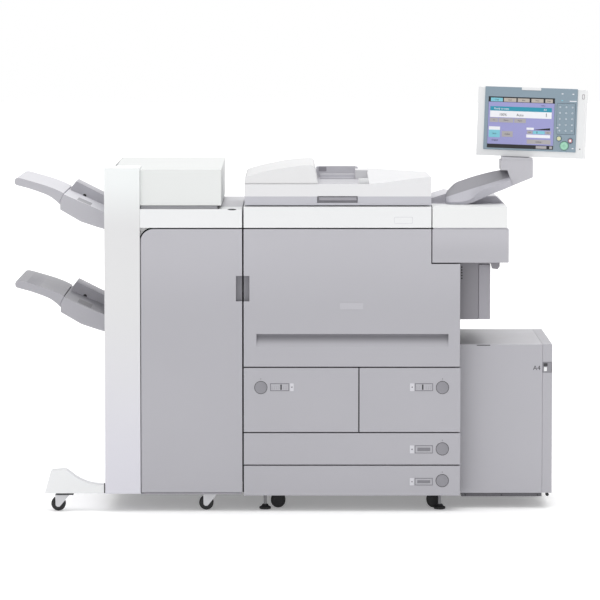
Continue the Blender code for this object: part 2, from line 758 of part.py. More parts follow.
def make_feeder():
    base = piece(
        "adf_base",
        box(
            (FEEDER_LEFT, FEEDER_FRONT, FEEDER_BASE), (FEEDER_RIGHT, FEEDER_BACK, LIP_TOP)
        ),
        white_plastic(),
        (FEEDER_LEFT, *FEEDER_HINGE),
    )
    wing = loft([
        [
            (WING_LEFT, FEEDER_FRONT, LIP_TOP - 0.020), (WING_LEFT, FEEDER_FRONT, LIP_TOP),
            (WING_LEFT, FEEDER_BACK, LIP_TOP + WING_FRONT), (WING_LEFT, FEEDER_BACK, LIP_TOP - 0.020),
        ],
        [
            (FEEDER_RIGHT, FEEDER_FRONT, LIP_TOP - 0.020),
            (FEEDER_RIGHT, FEEDER_FRONT, LIP_TOP + WING_FRONT - 0.002),
            (FEEDER_RIGHT, FEEDER_BACK, LIP_TOP + WING_BACK),
            (FEEDER_RIGHT, FEEDER_BACK, LIP_TOP - 0.020),
        ],
    ])
    pad = box(
        (GLASS_LEFT - PAD_RIM, GLASS_FRONT - PAD_RIM, READER_TOP + PAD_GAP),
        (
            GLASS_LEFT + GLASS_WIDTH + PAD_RIM,
            GLASS_FRONT + GLASS_DEPTH + PAD_RIM,
            FEEDER_BASE + SKIN,
        ),
    )
    wall = 0.008
    ledge = box(
        (LEDGE_LEFT - SKIN, LEDGE_FRONT - SKIN, LIP_TOP - 0.018),
        (WING_LEFT + OVERCUT, FEEDER_BACK - RUN, LIP_TOP + WING_FRONT - 0.001),
    )
    fence = box(
        (TRAY_LEFT, FEEDER_BACK - wall - SKIN, LIP_TOP - 0.016),
        (LEDGE_LEFT + OVERCUT, FEEDER_BACK - 2 * RUN, LIP_TOP + TRAY_WALL),
    )
    join(base, wing, pad, ledge, fence)
    cut(
        base,
        box(
            (FEEDER_LEFT + wall, FEEDER_FRONT + wall, FEEDER_BASE + 2 * SKIN),
            (COVER_EDGE - 0.020, FEEDER_BACK - wall, LIP_TOP + OVERCUT),
        ),
        prism(
            [
                (TRAY_LEFT - 0.012, FEEDER_FRONT + wall), (WING_LEFT, FEEDER_FRONT + wall),
                (WING_LEFT, LEDGE_FRONT), (LEDGE_LEFT, LEDGE_FRONT),
                (LEDGE_LEFT, FEEDER_BACK - wall), (TRAY_LEFT - 0.012, FEEDER_BACK - wall),
            ],
            "Z", TRAY_FLOOR, LIP_TOP + TRAY_WALL + OVERCUT,
        ),
        box(
            (FEEDER_LEFT + 0.2325, FEEDER_FRONT - OVERCUT, FEEDER_BASE + 0.0075),
            (FEEDER_LEFT + 0.3635, FEEDER_FRONT + 0.006, FEEDER_BASE + 0.0299),
        ),
        box(
            (WING_LEFT + wall, FEEDER_FRONT + wall, FEEDER_BASE + 2 * SKIN),
            (FEEDER_RIGHT - wall, FEEDER_BACK + OVERCUT, LIP_TOP - 0.006),
        ),
    )
    make_feed_cover()
    tray_low = TRAY_FLOOR + RUN
    tray = piece(
        "document_tray",
        box(
            (TRAY_LEFT - 0.010, FEEDER_FRONT + wall + 0.001, tray_low),
            (WING_LEFT - RUN, FEEDER_BACK - wall - 0.001, tray_low + 0.006),
        ),
        pale_plastic(),
    )
    cut(tray, box(
        (LEDGE_LEFT - RUN, LEDGE_FRONT - RUN, tray_low - OVERCUT),
        (WING_LEFT + OVERCUT, FEEDER_BACK, tray_low + 0.006 + OVERCUT),
    ))
    fence_low = tray_low + 0.006 + RUN
    make_guide("front_guide", WING_LEFT - 0.034, WING_LEFT - 0.002, 0.030, fence_low, 0.021, 1)
    make_guide("rear_guide", TRAY_LEFT + 0.004, WING_LEFT - 0.040, 0.430, fence_low, 0.016, -1)


def make_guide(name, left, right, y, low, height, foot_side):
    """An L-shaped paper guide: a fence with a foot that lies on the tray."""
    thick, foot = 0.004, 0.022
    outline = [
        (y, low), (y + foot_side * foot, low), (y + foot_side * foot, low + 0.002),
        (y + foot_side * thick, low + 0.002), (y + foot_side * thick, low + height),
        (y, low + height),
    ]
    piece(name, prism(outline, "X", left, right), white_plastic(), (left, y, low))


def make_feed_cover():
    low = LIP_TOP + RUN
    left, right = FEEDER_LEFT, COVER_EDGE

    def hump(inset):
        crown = low + HUMP_HEIGHT - inset
        back = eased([
            (right - 0.020 - inset, crown), (right - 0.060, crown - 0.0012),
            (right - 0.115, crown - 0.0082), (right - 0.175, crown - 0.0205),
            (left + 0.014 + inset, crown - 0.0330), (left + 0.003 + inset, crown - 0.0385),
            (left + inset, crown - 0.0470),
        ], 4)
        return [
            (right - inset, low - 2 * inset), (right - 0.0105 - inset, crown - 0.0110),
            (right - 0.0120 - inset, crown - 0.0050), (right - 0.0150 - inset, crown - 0.0015),
            *back, (left + inset, low - 2 * inset),
        ]

    cover = piece(
        "adf_feed_cover",
        prism(hump(0.0), "Y", FEEDER_FRONT + 0.004, FEEDER_BACK - 0.004),
        white_plastic(),
        (left, FEEDER_FRONT, low),
    )
    cut(cover, prism(hump(SKIN), "Y", FEEDER_FRONT + 0.004 + SKIN, FEEDER_BACK - 0.004 - SKIN))


PLINTH_FRONT = ARM_PIVOT[1] + 0.055


def make_panel_base():
    cover = piece(
        "panel_base_cover",
        box((HOUSING_LEFT, 0.0, READER_BASE), (COVER_RIGHT, COVER_DEPTH, READER_TOP)),
        white_plastic(),
    )
    plinth = [
        (HOUSING_LEFT + SKIN, READER_TOP - 0.010), (COVER_RIGHT - SKIN, READER_TOP - 0.010),
        (COVER_RIGHT - SKIN, READER_TOP), (COVER_RIGHT - 0.026, READER_TOP + 0.022),
        (ARM_PIVOT[0] + 0.040, READER_TOP + 0.022), (ARM_PIVOT[0] - 0.020, READER_TOP + 0.027),
        (ARM_PIVOT[0] - 0.042, READER_TOP + 0.031), (HOUSING_LEFT + SKIN, READER_TOP + 0.015),
    ]
    join(cover, prism(plinth, "Y", PLINTH_FRONT, COVER_DEPTH - 0.120))
    cut(cover, box(
        (HOUSING_LEFT + SKIN, SKIN, READER_BASE - OVERCUT),
        (COVER_RIGHT - SKIN, COVER_DEPTH - SKIN, READER_TOP - 2 * SKIN),
    ))
    cut(cover, rod(
        ARM_PIVOT, "Z", hole_radius(0.015, RUN), READER_TOP - 3 * SKIN, READER_TOP + OVERCUT
    ))
    housing = piece(
        "panel_base_housing",
        box((HOUSING_LEFT, 0.0, HOUSING_BASE), (HOUSING_RIGHT, COVER_DEPTH, DOOR_TOP)),
        pale_plastic(),
    )
    platform = box(
        (HOUSING_LEFT + SKIN + RUN, SKIN + RUN, DOOR_TOP - OVERCUT),
        (COVER_RIGHT - SKIN - RUN, COVER_DEPTH - SKIN - RUN, READER_BASE + 0.010),
    )
    path = box(
        (SIDE_LEFT, PATH_FRONT, PATH_BASE), (PATH_SPLIT, PATH_FRONT + PATH_DEPTH, HOUSING_BASE + SKIN)
    )
    bracket = [
        (PATH_SPLIT - 0.010, HOUSING_BASE + SKIN), (PATH_SPLIT - 0.010, PATH_DOOR_TOP + SHADOW),
        (PATH_SPLIT + 0.039, PATH_DOOR_TOP + SHADOW), (PATH_SPLIT + 0.042, HOUSING_BASE - 0.0201),
        (PATH_SPLIT + 0.060, HOUSING_BASE - 0.0231), (PATH_SPLIT + 0.067, HOUSING_BASE - 0.0131),
        (PATH_SPLIT + 0.067, HOUSING_BASE + SKIN),
    ]
    join(housing, platform)
    join(housing, path)
    join(housing, prism(bracket, "Y", PATH_FRONT - BRACKET_THICK, PATH_FRONT))
    cut(
        housing,
        box(
            (HOUSING_LEFT + SKIN, SKIN, HOUSING_BASE + 2 * SKIN),
            (HOUSING_RIGHT - SKIN, COVER_DEPTH + OVERCUT, DOOR_TOP - SKIN),
        ),
        box(
            (SIDE_LEFT + SKIN, PATH_FRONT + SKIN, PATH_BASE + SKIN),
            (PATH_SPLIT - SKIN, PATH_FRONT + PATH_DEPTH + OVERCUT, HOUSING_BASE - SKIN),
        ),
    )
    left, right = PATH_SPLIT + 2 * RUN, PATH_SPLIT + PATH_DOOR_WIDTH
    back = PATH_FRONT + PATH_DEPTH
    door = piece(
        "side_path_door",
        box((left, PATH_FRONT + 0.002, PATH_BASE), (right, back, PATH_DOOR_TOP)),
        grey_plastic(),
        (right, back, PATH_BASE),
    )
    cut(door, box(
        (left - OVERCUT, PATH_FRONT + 0.002 + SKIN, PATH_BASE + SKIN),
        (right - SKIN, back - SKIN, PATH_DOOR_TOP - SKIN),
    ))


def arm_section(x, front, back, bottom, crease, edge, ridge, lean=0.0):
    """One cross-section of the arm: a narrow lower front, a leaning face and a sloping top."""
    middle = front + 0.45 * (back - front)
    corners = [
        (front + 0.005, bottom), (front, crease), (middle, edge),
        (back - 0.010, ridge), (back, ridge - 0.010), (back - 0.004, bottom),
    ]
    return [(x - lean * (z - bottom) / (ridge - bottom), y, z) for y, z in corners]


ARM_FRONT = ARM_PIVOT[1] - 0.048
ARM_BACK = ARM_PIVOT[1] + 0.050
ARM_END = 0.167
ARM_END_LOW = 0.060
ARM_END_HIGH = 0.1095
ARM_LEAN = 0.016
NECK_SEAM = 0.0006


def make_arm():
    rest = READER_TOP + RUN
    pivot_x = ARM_PIVOT[0]
    sections = eased([
        (-0.046, 0.032, -0.032, 0.000, 0.010, 0.026, 0.034, 0.0),
        (-0.038, 0.010, -0.010, 0.000, 0.008, 0.032, 0.044, 0.0),
        (-0.014, 0.000, 0.000, 0.000, 0.008, 0.039, 0.066, 0.0),
        (0.015, 0.000, 0.000, 0.000, 0.011, 0.047, 0.077, 0.0),
        (0.038, 0.000, 0.000, 0.006, 0.021, 0.053, 0.085, 0.0),
        (0.064, 0.000, 0.000, 0.017, 0.043, 0.059, 0.0925, 0.0),
        (0.096, 0.000, 0.000, 0.032, 0.057, 0.071, 0.1007, 0.0),
        (0.128, 0.000, 0.000, 0.044, 0.067, 0.084, 0.1070, 0.0),
        (ARM_END, 0.000, 0.000, ARM_END_LOW, 0.078, 0.097, ARM_END_HIGH, ARM_LEAN),
    ], 3)
    arm = piece(
        "arm",
        loft([
            arm_section(
                pivot_x + x, ARM_FRONT + front, ARM_BACK + back,
                rest + max(bottom, 0.0), rest + crease, rest + edge, rest + ridge, lean,
            )
            for x, front, back, bottom, crease, edge, ridge, lean in sections
        ]),
        pale_plastic(),
        (*ARM_PIVOT, rest),
    )
    join(arm, rod(ARM_PIVOT, "Z", 0.015, READER_TOP - 2 * SKIN, rest + 0.006))


def panel_frame():
    return (
        Matrix.Translation(PANEL_PLACE)
        @ Matrix.Rotation(PANEL_YAW, 4, "Z")
        @ Matrix.Rotation(PANEL_TILT, 4, "X")
        @ Matrix.Rotation(PANEL_LEAN, 4, "Y")
    )


def on_panel(shape):
    bmesh.ops.transform(shape, matrix=panel_frame(), verts=shape.verts)
    return shape


PIVOT_U = -0.045
PIVOT_W = -0.020
PIVOT_V = PANEL_THICK + PIVOT_RADIUS + 0.0080
EAR = 0.008
EAR_INNER = 0.026
PIN_END = 0.0345
NECK_LEFT = ARM_PIVOT[0] + 0.130
NECK_RIGHT = ARM_PIVOT[0] + 0.234
NECK_TOP = READER_TOP + 0.1429
NECK_FRONT = ARM_PIVOT[1] - 0.034
NECK_BACK = ARM_PIVOT[1] + 0.076


def panel_pivot():
    return panel_frame() @ Vector((PIVOT_U, PIVOT_V, PIVOT_W))


def make_neck():
    rest = READER_TOP + RUN
    top = rest + ARM_END_HIGH + NECK_SEAM
    arm_foot = ARM_PIVOT[0] + ARM_END + NECK_SEAM
    outline = [
        (NECK_LEFT, top), (arm_foot - ARM_LEAN, top), (arm_foot, rest + ARM_END_LOW),
        (NECK_RIGHT, rest + 0.087), (NECK_RIGHT, NECK_TOP), (NECK_LEFT, NECK_TOP),
    ]
    neck = piece(
        "neck", prism(outline, "Y", NECK_FRONT, NECK_BACK), pale_plastic(), (NECK_RIGHT, NECK_FRONT, top)
    )
    hinge = panel_pivot()
    spine = box(
        (NECK_LEFT + 0.006, hinge.y - 0.004, NECK_TOP - 0.030),
        (NECK_RIGHT - 0.006, NECK_BACK, hinge.z - 0.052),
    )
    stem = box(
        (hinge.x - 0.012, hinge.y - 0.006, NECK_TOP - 0.030), (hinge.x + 0.012, hinge.y + 0.007, hinge.z)
    )
    knuckle = on_panel(rod(
        (PIVOT_V, PIVOT_W), "X", PIVOT_RADIUS, PIVOT_U - EAR_INNER + 0.001, PIVOT_U + EAR_INNER - 0.001
    ))
    pin = on_panel(rod((PIVOT_V, PIVOT_W), "X", PIVOT_PIN, PIVOT_U - PIN_END, PIVOT_U + PIN_END, 12))
    join(neck, spine, stem, knuckle, pin)


def make_control_panel():
    pivot = panel_pivot()
    half_w, half_h = PANEL_WIDTH / 2, PANEL_HEIGHT / 2
    case = piece(
        "panel_case",
        on_panel(box((-half_w, 0.0, -half_h), (half_w, PANEL_THICK, half_h))),
        white_plastic(),
        pivot,
    )
    bezel_low = BEZEL_RISE - BEZEL_HEIGHT / 2
    bezel_high = bezel_low + BEZEL_HEIGHT
    ears = [
        on_panel(box(
            (PIVOT_U + side * (EAR_INNER + EAR / 2) - EAR / 2, PANEL_THICK - SKIN, PIVOT_W - 0.014),
            (PIVOT_U + side * (EAR_INNER + EAR / 2) + EAR / 2, PIVOT_V + 0.013, PIVOT_W + 0.014),
        ))
        for side in (-1, 1)
    ]
    lip = on_panel(box((-0.0315, -0.0055, half_h - 0.006), (0.0330, 0.010, bezel_high + RUN)))
    join(case, *ears)
    join(case, lip)
    pocket = on_panel(box(
        (-BEZEL_WIDTH / 2 + 0.004, -OVERCUT, bezel_low + 0.004),
        (BEZEL_WIDTH / 2 - 0.004, PANEL_THICK - SKIN, half_h - 0.008),
    ))
    cut(case, pocket, on_panel(rod(
        (PIVOT_V, PIVOT_W), "X", hole_radius(PIVOT_PIN, RUN, 12), PIVOT_U - 0.040, PIVOT_U + 0.040, 12
    )))

    bezel_back = -RUN
    bezel_front = bezel_back - BEZEL_THICK
    bezel = piece(
        "panel_bezel",
        on_panel(box(
            (-BEZEL_WIDTH / 2, bezel_front, bezel_low), (BEZEL_WIDTH / 2, bezel_back, bezel_high)
        )),
        blue_bezel(),
        pivot,
    )
    screen_left = -BEZEL_WIDTH / 2 + 0.0125
    screen_high = bezel_high - 0.0325
    screen_low = screen_high - SCREEN_HEIGHT
    pad_low, pad_high, pad_left, pad_right = -0.034, 0.066, 0.088, 0.149
    start, stop, reset = (0.1168, -0.071), (0.1365, -0.054), (0.0985, -0.048)
    through = (bezel_front - OVERCUT, OVERCUT)

    def key_hole(place, radius, sides):
        return on_panel(rod(place, "Y", hole_radius(radius, BUTTON_FIT, sides), *through, sides))

    cut(
        bezel,
        on_panel(box(
            (screen_left, through[0], screen_low), (screen_left + SCREEN_WIDTH, through[1], screen_high)
        )),
        on_panel(box((pad_left, through[0], pad_low), (pad_right, through[1], pad_high))),
        on_panel(box(
            (-0.0315 - RUN, through[0], half_h - 0.006 - RUN), (0.0330 + RUN, through[1], 0.2)
        )),
        key_hole(start, START_RADIUS, 20),
        key_hole(stop, SMALL_KEY, 12),
        key_hole(reset, SMALL_KEY, 12),
    )
    piece(
        "lcd_screen",
        on_panel(box(
            (screen_left + RUN, bezel_front + 0.001, screen_low + RUN),
            (screen_left + SCREEN_WIDTH - RUN, 0.006, screen_high - RUN),
        )),
        finish_material("screen", (0.32, 0.33, 0.62), 0.2),
        pivot,
    )
    pad_front = bezel_front + 0.0002
    mat = piece(
        "key_mat",
        on_panel(box(
            (pad_left + BUTTON_FIT, pad_front, pad_low + BUTTON_FIT),
            (pad_right - BUTTON_FIT, 0.004, pad_high - BUTTON_FIT),
        )),
        blue_bezel(),
        pivot,
    )
    tail = on_panel(box((reset[0] - 0.008, 0.0015, -0.062), (stop[0] + 0.008, 0.004, pad_low + 0.004)))
    join(mat, tail)
    cut(mat, on_panel(rod(start, "Y", START_RADIUS + 0.002, 0.0, 0.006, 20)))
    join(mat, *[
        on_panel(rod(place, "Y", SMALL_KEY, bezel_front - 0.0012, 0.003, 12))
        for place in (stop, reset)
    ])
    for row in range(5):
        for column in range(3):
            place = (pad_left + 0.011 + 0.0205 * column, pad_low + 0.012 + 0.019 * row)
            join(mat, on_panel(rod(place, "Y", 0.0042, pad_front - 0.0010, 0.001, 8)))
    smooth(piece(
        "start_key",
        on_panel(rod(start, "Y", START_RADIUS, bezel_front - 0.0022, 0.0045, 20)),
        finish_material("start_green", (0.35, 0.62, 0.46), 0.35),
        pivot,
    ))


def finisher_plan(left, front, back, right, inset=0.0):
    """The finisher seen from above, stepped round the column."""
    return [
        (COLUMN_RIGHT + left + inset, front + inset), (right - inset, front + inset),
        (right - inset, back - inset), (MAST_RIGHT + left + inset, back - inset),
        (MAST_RIGHT + left + inset, COLUMN_DEPTH + left + inset),
        (COLUMN_RIGHT + left + inset, COLUMN_DEPTH + left + inset),
    ]


def make_finisher_body():
    right = FINISHER_RIGHT - SHADOW
    frame = piece(
        "finisher_frame",
        prism(
            finisher_plan(RUN, FRAME_FRONT, FINISHER_DEPTH, right), "Z", FINISHER_BASE, FRAME_TOP
        ),
        zinc_sheet(),
    )
    join(frame, *hinge_bracket(FINISHER_HINGE, FINISHER_DOOR_BASE, -1))
    join(frame, box(
        (right - SHEET / 2, DOCK_FRONT, DOOR_TOP - DOCK_DROP),
        (MAIN_LEFT - RUN, DOCK_FRONT + DOCK_DEPTH, DOOR_TOP - DOCK_DROP + DOCK_HEIGHT),
    ))
    inside = finisher_plan(RUN, FRAME_FRONT - 2 * SHEET, FINISHER_DEPTH, right, SHEET)
    cut(frame, prism(inside, "Z", FINISHER_BASE + SHEET, FRAME_TOP - SHEET))

    column = piece(
        "finisher_column",
        prism(
            [
                (COLUMN_LEFT, 0.0), (COLUMN_RIGHT, 0.0), (COLUMN_RIGHT, COLUMN_DEPTH),
                (MAST_RIGHT, COLUMN_DEPTH), (MAST_RIGHT, FINISHER_DEPTH),
                (COLUMN_LEFT, FINISHER_DEPTH),
            ],
            "Z", FINISHER_BASE, COLUMN_TOP,
        ),
        white_plastic(),
    )
    slots = [
        box(
            (COLUMN_LEFT - OVERCUT, y - RUN, LUG_LOW - TRAY_SPACING - TRAY_TRAVEL - 0.002),
            (COLUMN_LEFT + 2 * SKIN, y + LUG_WIDTH + RUN, LUG_LOW + 0.024),
        )
        for y in LUG_PLACES
    ]
    cut(
        column,
        box(
            (COLUMN_LEFT + SKIN, SKIN, FINISHER_BASE - OVERCUT),
            (COLUMN_RIGHT - SKIN, COLUMN_DEPTH - SKIN, COLUMN_TOP - SKIN),
        ),
        box(
            (COLUMN_LEFT + SKIN, COLUMN_DEPTH + SKIN, FINISHER_BASE - OVERCUT),
            (MAST_RIGHT + OVERCUT, FINISHER_DEPTH - SKIN, COLUMN_TOP - SKIN),
        ),
    )
    cut(column, *slots)

    cover = piece(
        "finisher_top_cover",
        prism(
            finisher_plan(RUN, 0.0, FINISHER_DEPTH, FINISHER_RIGHT), "Z", READER_BASE, FINISHER_TOP
        ),
        white_plastic(),
    )
    under = finisher_plan(RUN, 0.0, FINISHER_DEPTH, FINISHER_RIGHT, SKIN)
    cut(cover, prism(under, "Z", READER_BASE - OVERCUT, FINISHER_TOP - SKIN))
    reach = DOOR_CORNER + SHADOW
    centre = (FINISHER_DOOR_LEFT + DOOR_CORNER, DOOR_TOP - DOOR_CORNER)
    spread = math.degrees(math.acos((centre[0] - COLUMN_RIGHT - 2 * RUN) / reach))
    gusset = corner_arc(centre, reach, 90, 180 - spread)
    gusset += [(gusset[-1][0], READER_BASE + SKIN), (gusset[0][0], READER_BASE + SKIN)]
    join(cover, prism(gusset, "Y", PANEL - SKIN, PANEL))


def make_hood():
    front, back = 0.012, FINISHER_DEPTH - 0.005

    def sloped(inset, low, crown):
        shape = prism(finisher_plan(RUN, front, back, HOOD_RIGHT, inset), "Z", low, crown)
        for vertex in shape.verts:
            if vertex.co.z > HOOD_BASE + HOOD_HEIGHT / 2:
                vertex.co.z += HOOD_RISE * (vertex.co.y - front) / (back - front)
        return shape

    rest = FINISHER_TOP + RUN
    hood = piece("finisher_hood", sloped(0.0, HOOD_BASE, HOOD_TOP), white_plastic(), (HOOD_RIGHT, back, rest))
    cut(hood, sloped(SKIN, HOOD_BASE - OVERCUT, HOOD_TOP - SKIN))
    join(hood, box(
        (MAST_RIGHT + 0.010, back - 0.012, rest), (HOOD_RIGHT - 0.010, back, HOOD_BASE + 0.020)
    ))


def make_foot():
    left = COLUMN_LEFT - 0.1955
    low = FINISHER_BASE
    outline = [
        (left, low), (COLUMN_LEFT - RUN, low),
        *eased([
            (COLUMN_LEFT - RUN, low + 0.0270), (left + 0.1700, low + 0.0285),
            (left + 0.1440, low + 0.0340), (left + 0.1220, low + 0.0420),
            (left + 0.1020, low + 0.0530), (left + 0.0860, low + 0.0650),
            (left + 0.0700, low + 0.0770),
        ], 3),
        (left + 0.0640, low + 0.0781), (left + 0.0240, low + 0.0748), (left + 0.0190, low + 0.0717),
    ]
    foot = piece("finisher_foot", prism(outline, "Y", FOOT_FRONT, FOOT_FRONT + FOOT_THICK), white_plastic())
    cut(foot, box(
        (left + 0.105, FOOT_FRONT + SKIN, low + SKIN),
        (COLUMN_LEFT + OVERCUT, FOOT_FRONT + FOOT_THICK - 0.005, low + 0.021),
    
    ))


LUG_WIDTH = 0.012
LUG_PLACES = (TRAY_FRONT + 0.050, TRAY_FRONT + TRAY_DEPTH - 0.062)
LUG_LOW = TRAY_ROOT + 0.0184


def make_tray(name, drop):
    """A stacking tray: a block on the mast with a wing that curves up and away from it."""
    wall = COLUMN_LEFT - RUN
    low = TRAY_ROOT - drop
    back = TRAY_FRONT + TRAY_DEPTH
    block = [
        (wall, low), (wall - 0.027, low + 0.0075), (wall - 0.083, low + 0.026),
        (wall - 0.150, low + 0.065), (wall - 0.150, low + 0.093), (wall - 0.139, low + 0.115),
        (wall, low + 0.054),
    ]
    tray = piece(
        name, prism(block, "Y", TRAY_FRONT, back), pale_plastic(), (wall, TRAY_FRONT, low)
    )
    fence = [
        (wall, low + 0.030), (wall - 0.132, low + 0.080), (wall - 0.132, low + 0.120),
        (wall - 0.115, low + 0.142), (wall, low + 0.084),
    ]
    join(tray, prism(fence, "Y", back - 0.160, back - 0.010))
    cut(tray, box(
        (wall - 0.070, TRAY_FRONT + SKIN, low + 0.031), (wall + OVERCUT, back - SKIN, low + 0.044)
    ))
    for y in LUG_PLACES:
        join(tray, box(
            (wall - 0.010, y, LUG_LOW - drop), (COLUMN_LEFT + 0.016, y + LUG_WIDTH, LUG_LOW + 0.010 - drop)
        ))

    tip = wall - 0.2975
    wing = [
        (wall - 0.150 - RUN, low + 0.0815), (wall - 0.150 - RUN, low + 0.0935),
        (wall - 0.1396, low + 0.1156),
        *eased([
            (wall - 0.1396, low + 0.1190), (wall - 0.160, low + 0.1292), (wall - 0.190, low + 0.1410),
            (wall - 0.232, low + 0.1540), (tip + 0.024, low + 0.1657), (tip + 0.010, low + 0.1678),
            (tip + 0.0025, low + 0.1650), (tip, low + 0.1590),
        ], 3),
        *eased([
            (tip, low + 0.1530), (tip + 0.0035, low + 0.1462), (tip + 0.014, low + 0.1425),
            (wall - 0.250, low + 0.1335), (wall - 0.2135, low + 0.1210), (wall - 0.1860, low + 0.1095),
            (wall - 0.166, low + 0.0955), (wall - 0.154, low + 0.0845),
        ], 3),
    ]
    piece(
        f"{name}_wing", prism(wing, "Y", TRAY_FRONT + 0.001, back - 0.001), pale_plastic(),
        (wall, TRAY_FRONT, low),
    )


def make_side_deck():
    back = SIDE_FRONT + SIDE_DEPTH
    casing = piece(
        "deck_casing",
        box((SIDE_LEFT, SIDE_FRONT, SIDE_BASE), (SIDE_SPLIT, back, SIDE_TOP)),
        grey_plastic(),
    )
    join(casing, box(
        (SIDE_LEFT + 0.008, SIDE_FRONT + 0.010, SIDE_BASE - 0.013),
        (SIDE_SPLIT, back - 0.020, SIDE_BASE + SKIN / 2),
    ))
    cut(casing, box(
        (SIDE_LEFT + SKIN, SIDE_FRONT + SKIN, SIDE_BASE + SKIN),
        (SIDE_SPLIT + OVERCUT, back - SKIN, SIDE_TOP - SKIN),
    ))
    inner = SIDE_SPLIT + SIDE_SEAM
    tray = piece(
        "deck_compartment",
        box((inner, SIDE_FRONT, SIDE_BASE), (SIDE_RIGHT, back, SIDE_TOP)),
        grey_plastic(),
        (inner, SIDE_FRONT, SIDE_BASE),
    )
    low = Vector((SIDE_LEFT + 0.010, SIDE_FRONT + 0.015, SIDE_BASE + SKIN + RUN))
    high = Vector((inner + SKIN, back - 0.015, SIDE_TOP - 0.134))
    join(tray, box(low, high))
    cut(tray, box(
        (low.x + SKIN, low.y + SKIN, low.z + SKIN), (inner, high.y - SKIN, high.z + OVERCUT)
    ))
    button_low, button_high = SIDE_TOP - 0.0897, SIDE_TOP - 0.0590
    button_left, button_right = inner + 0.0020, SIDE_RIGHT - 0.0030
    floor = SIDE_FRONT + 0.013
    cut(
        tray,
        box(
            (button_left - BUTTON_FIT, SIDE_FRONT - OVERCUT, button_low - BUTTON_FIT),
            (button_right + BUTTON_FIT, floor, button_high + BUTTON_FIT),
        ),
        box(
            (inner + SKIN, floor + SKIN, SIDE_BASE - OVERCUT),
            (SIDE_RIGHT - SKIN, back - SKIN, SIDE_TOP - SKIN),
        ),
    )
    piece(
        "deck_button",
        box(
            (button_left, SIDE_FRONT - 0.001, button_low), (button_right, SIDE_FRONT + 0.009, button_high)
        ),
        dark_plastic(),
        (button_left, SIDE_FRONT, button_low),
    )


def make_main_wheels():
    half_web = TWIN_WEB / 2 + RUN
    outer = half_web + TWIN_WIDTH
    for number, (x, y) in enumerate(MAIN_CASTERS, 1):
        wheel = turned((x, TWIN_RADIUS), "Y", [
            (y - outer, TWIN_RADIUS - 0.003), (y - outer + 0.003, TWIN_RADIUS),
            (y - half_web, TWIN_RADIUS), (y - half_web, TWIN_HUB), (y + half_web, TWIN_HUB),
            (y + half_web, TWIN_RADIUS), (y + outer - 0.003, TWIN_RADIUS),
            (y + outer, TWIN_RADIUS - 0.003),
        ], 20)
        smooth(piece(f"main_caster_wheel_{number}", wheel, black_rubber(), (x, y, TWIN_RADIUS)))


def make_levelling_feet():
    for number, (x, y) in enumerate(LEVELLING_FEET, 1):
        foot = turned((x, y), "Z", [
            (0.0, FOOT_RADIUS - 0.002), (0.002, FOOT_RADIUS), (0.008, FOOT_RADIUS),
            (0.011, 0.012), (0.017, 0.009), (0.017, FOOT_SCREW), (BASE - RUN, FOOT_SCREW),
        ], 12)
        smooth(piece(f"levelling_foot_{number}", foot, black_rubber(), (x, y, 0.0)))


FINISHER_CASTERS = [
    ("front_left", COLUMN_LEFT - 0.131, FOOT_FRONT + FOOT_THICK / 2),
    ("front_right", FINISHER_RIGHT - 0.0957, 0.0500),
    ("rear_left", COLUMN_LEFT + 0.068, FINISHER_DEPTH - 0.065),
    ("rear_right", FINISHER_RIGHT - 0.0957, FINISHER_DEPTH - 0.065),
]


def make_finisher_casters():
    gap = CASTER_WIDTH / 2 + 0.0015
    plate_top = FINISHER_BASE - RUN
    plate_low = plate_top - FORK_PLATE
    for place, x, y in FINISHER_CASTERS:
        axle = x - CASTER_TRAIL
        fork = piece(
            f"caster_fork_{place}",
            box((x - 0.026, y - 0.022, plate_low), (x + 0.028, y + 0.022, plate_top)),
            steel(),
            (x, y, plate_top),
        )
        cheek = [
            (axle - 0.010, plate_low + 0.002), (axle - 0.009, CASTER_RADIUS - 0.005),
            (axle - 0.004, CASTER_RADIUS - 0.010), (axle + 0.004, CASTER_RADIUS - 0.010),
            (axle + 0.010, CASTER_RADIUS - 0.003), (x + 0.016, plate_low + 0.002),
        ]
        join(fork, *[
            prism(cheek, "Y", y + side * gap, y + side * (gap + FORK_CHEEK)) for side in (-1, 1)
        ])
        join(fork, rod(
            (axle, CASTER_RADIUS), "Y", CASTER_PIN, y - gap - FORK_CHEEK, y + gap + FORK_CHEEK, 10
        ))
        half = CASTER_WIDTH / 2
        wheel = turned((axle, CASTER_RADIUS), "Y", [
            (y - half, CASTER_RADIUS - 0.003), (y - half + 0.003, CASTER_RADIUS),
            (y + half - 0.003, CASTER_RADIUS), (y + half, CASTER_RADIUS - 0.003),
        ], 20)
        roller = smooth(piece(
            f"caster_wheel_{place}", wheel, black_rubber(), (axle, y, CASTER_RADIUS)
        ))
        cut(roller, rod(
            (axle, CASTER_RADIUS), "Y", hole_radius(CASTER_PIN, RUN, 10), y - gap, y + gap, 10
        ))


def stand_on_origin():
    """Carry every piece on one empty that puts the footprint's middle over the origin."""
    bpy.context.view_layer.update()
    depsgraph = bpy.context.evaluated_depsgraph_get()
    low, high = Vector((9.0, 9.0, 9.0)), Vector((-9.0, -9.0, -9.0))
    for item in bpy.data.objects:
        if item.hide_render:
            continue
        seen = item.evaluated_get(depsgraph)
        for vertex in seen.data.vertices:
            point = seen.matrix_world @ vertex.co
            low = Vector(map(min, low, point))
            high = Vector(map(max, high, point))
    machine = bpy.data.objects.new("photocopier", None)
    bpy.context.scene.collection.objects.link(machine)
    for item in list(bpy.data.objects):
        if item is not machine:
            item.parent = machine
    machine.location = (-(low.x + high.x) / 2, -(low.y + high.y) / 2, -low.z)


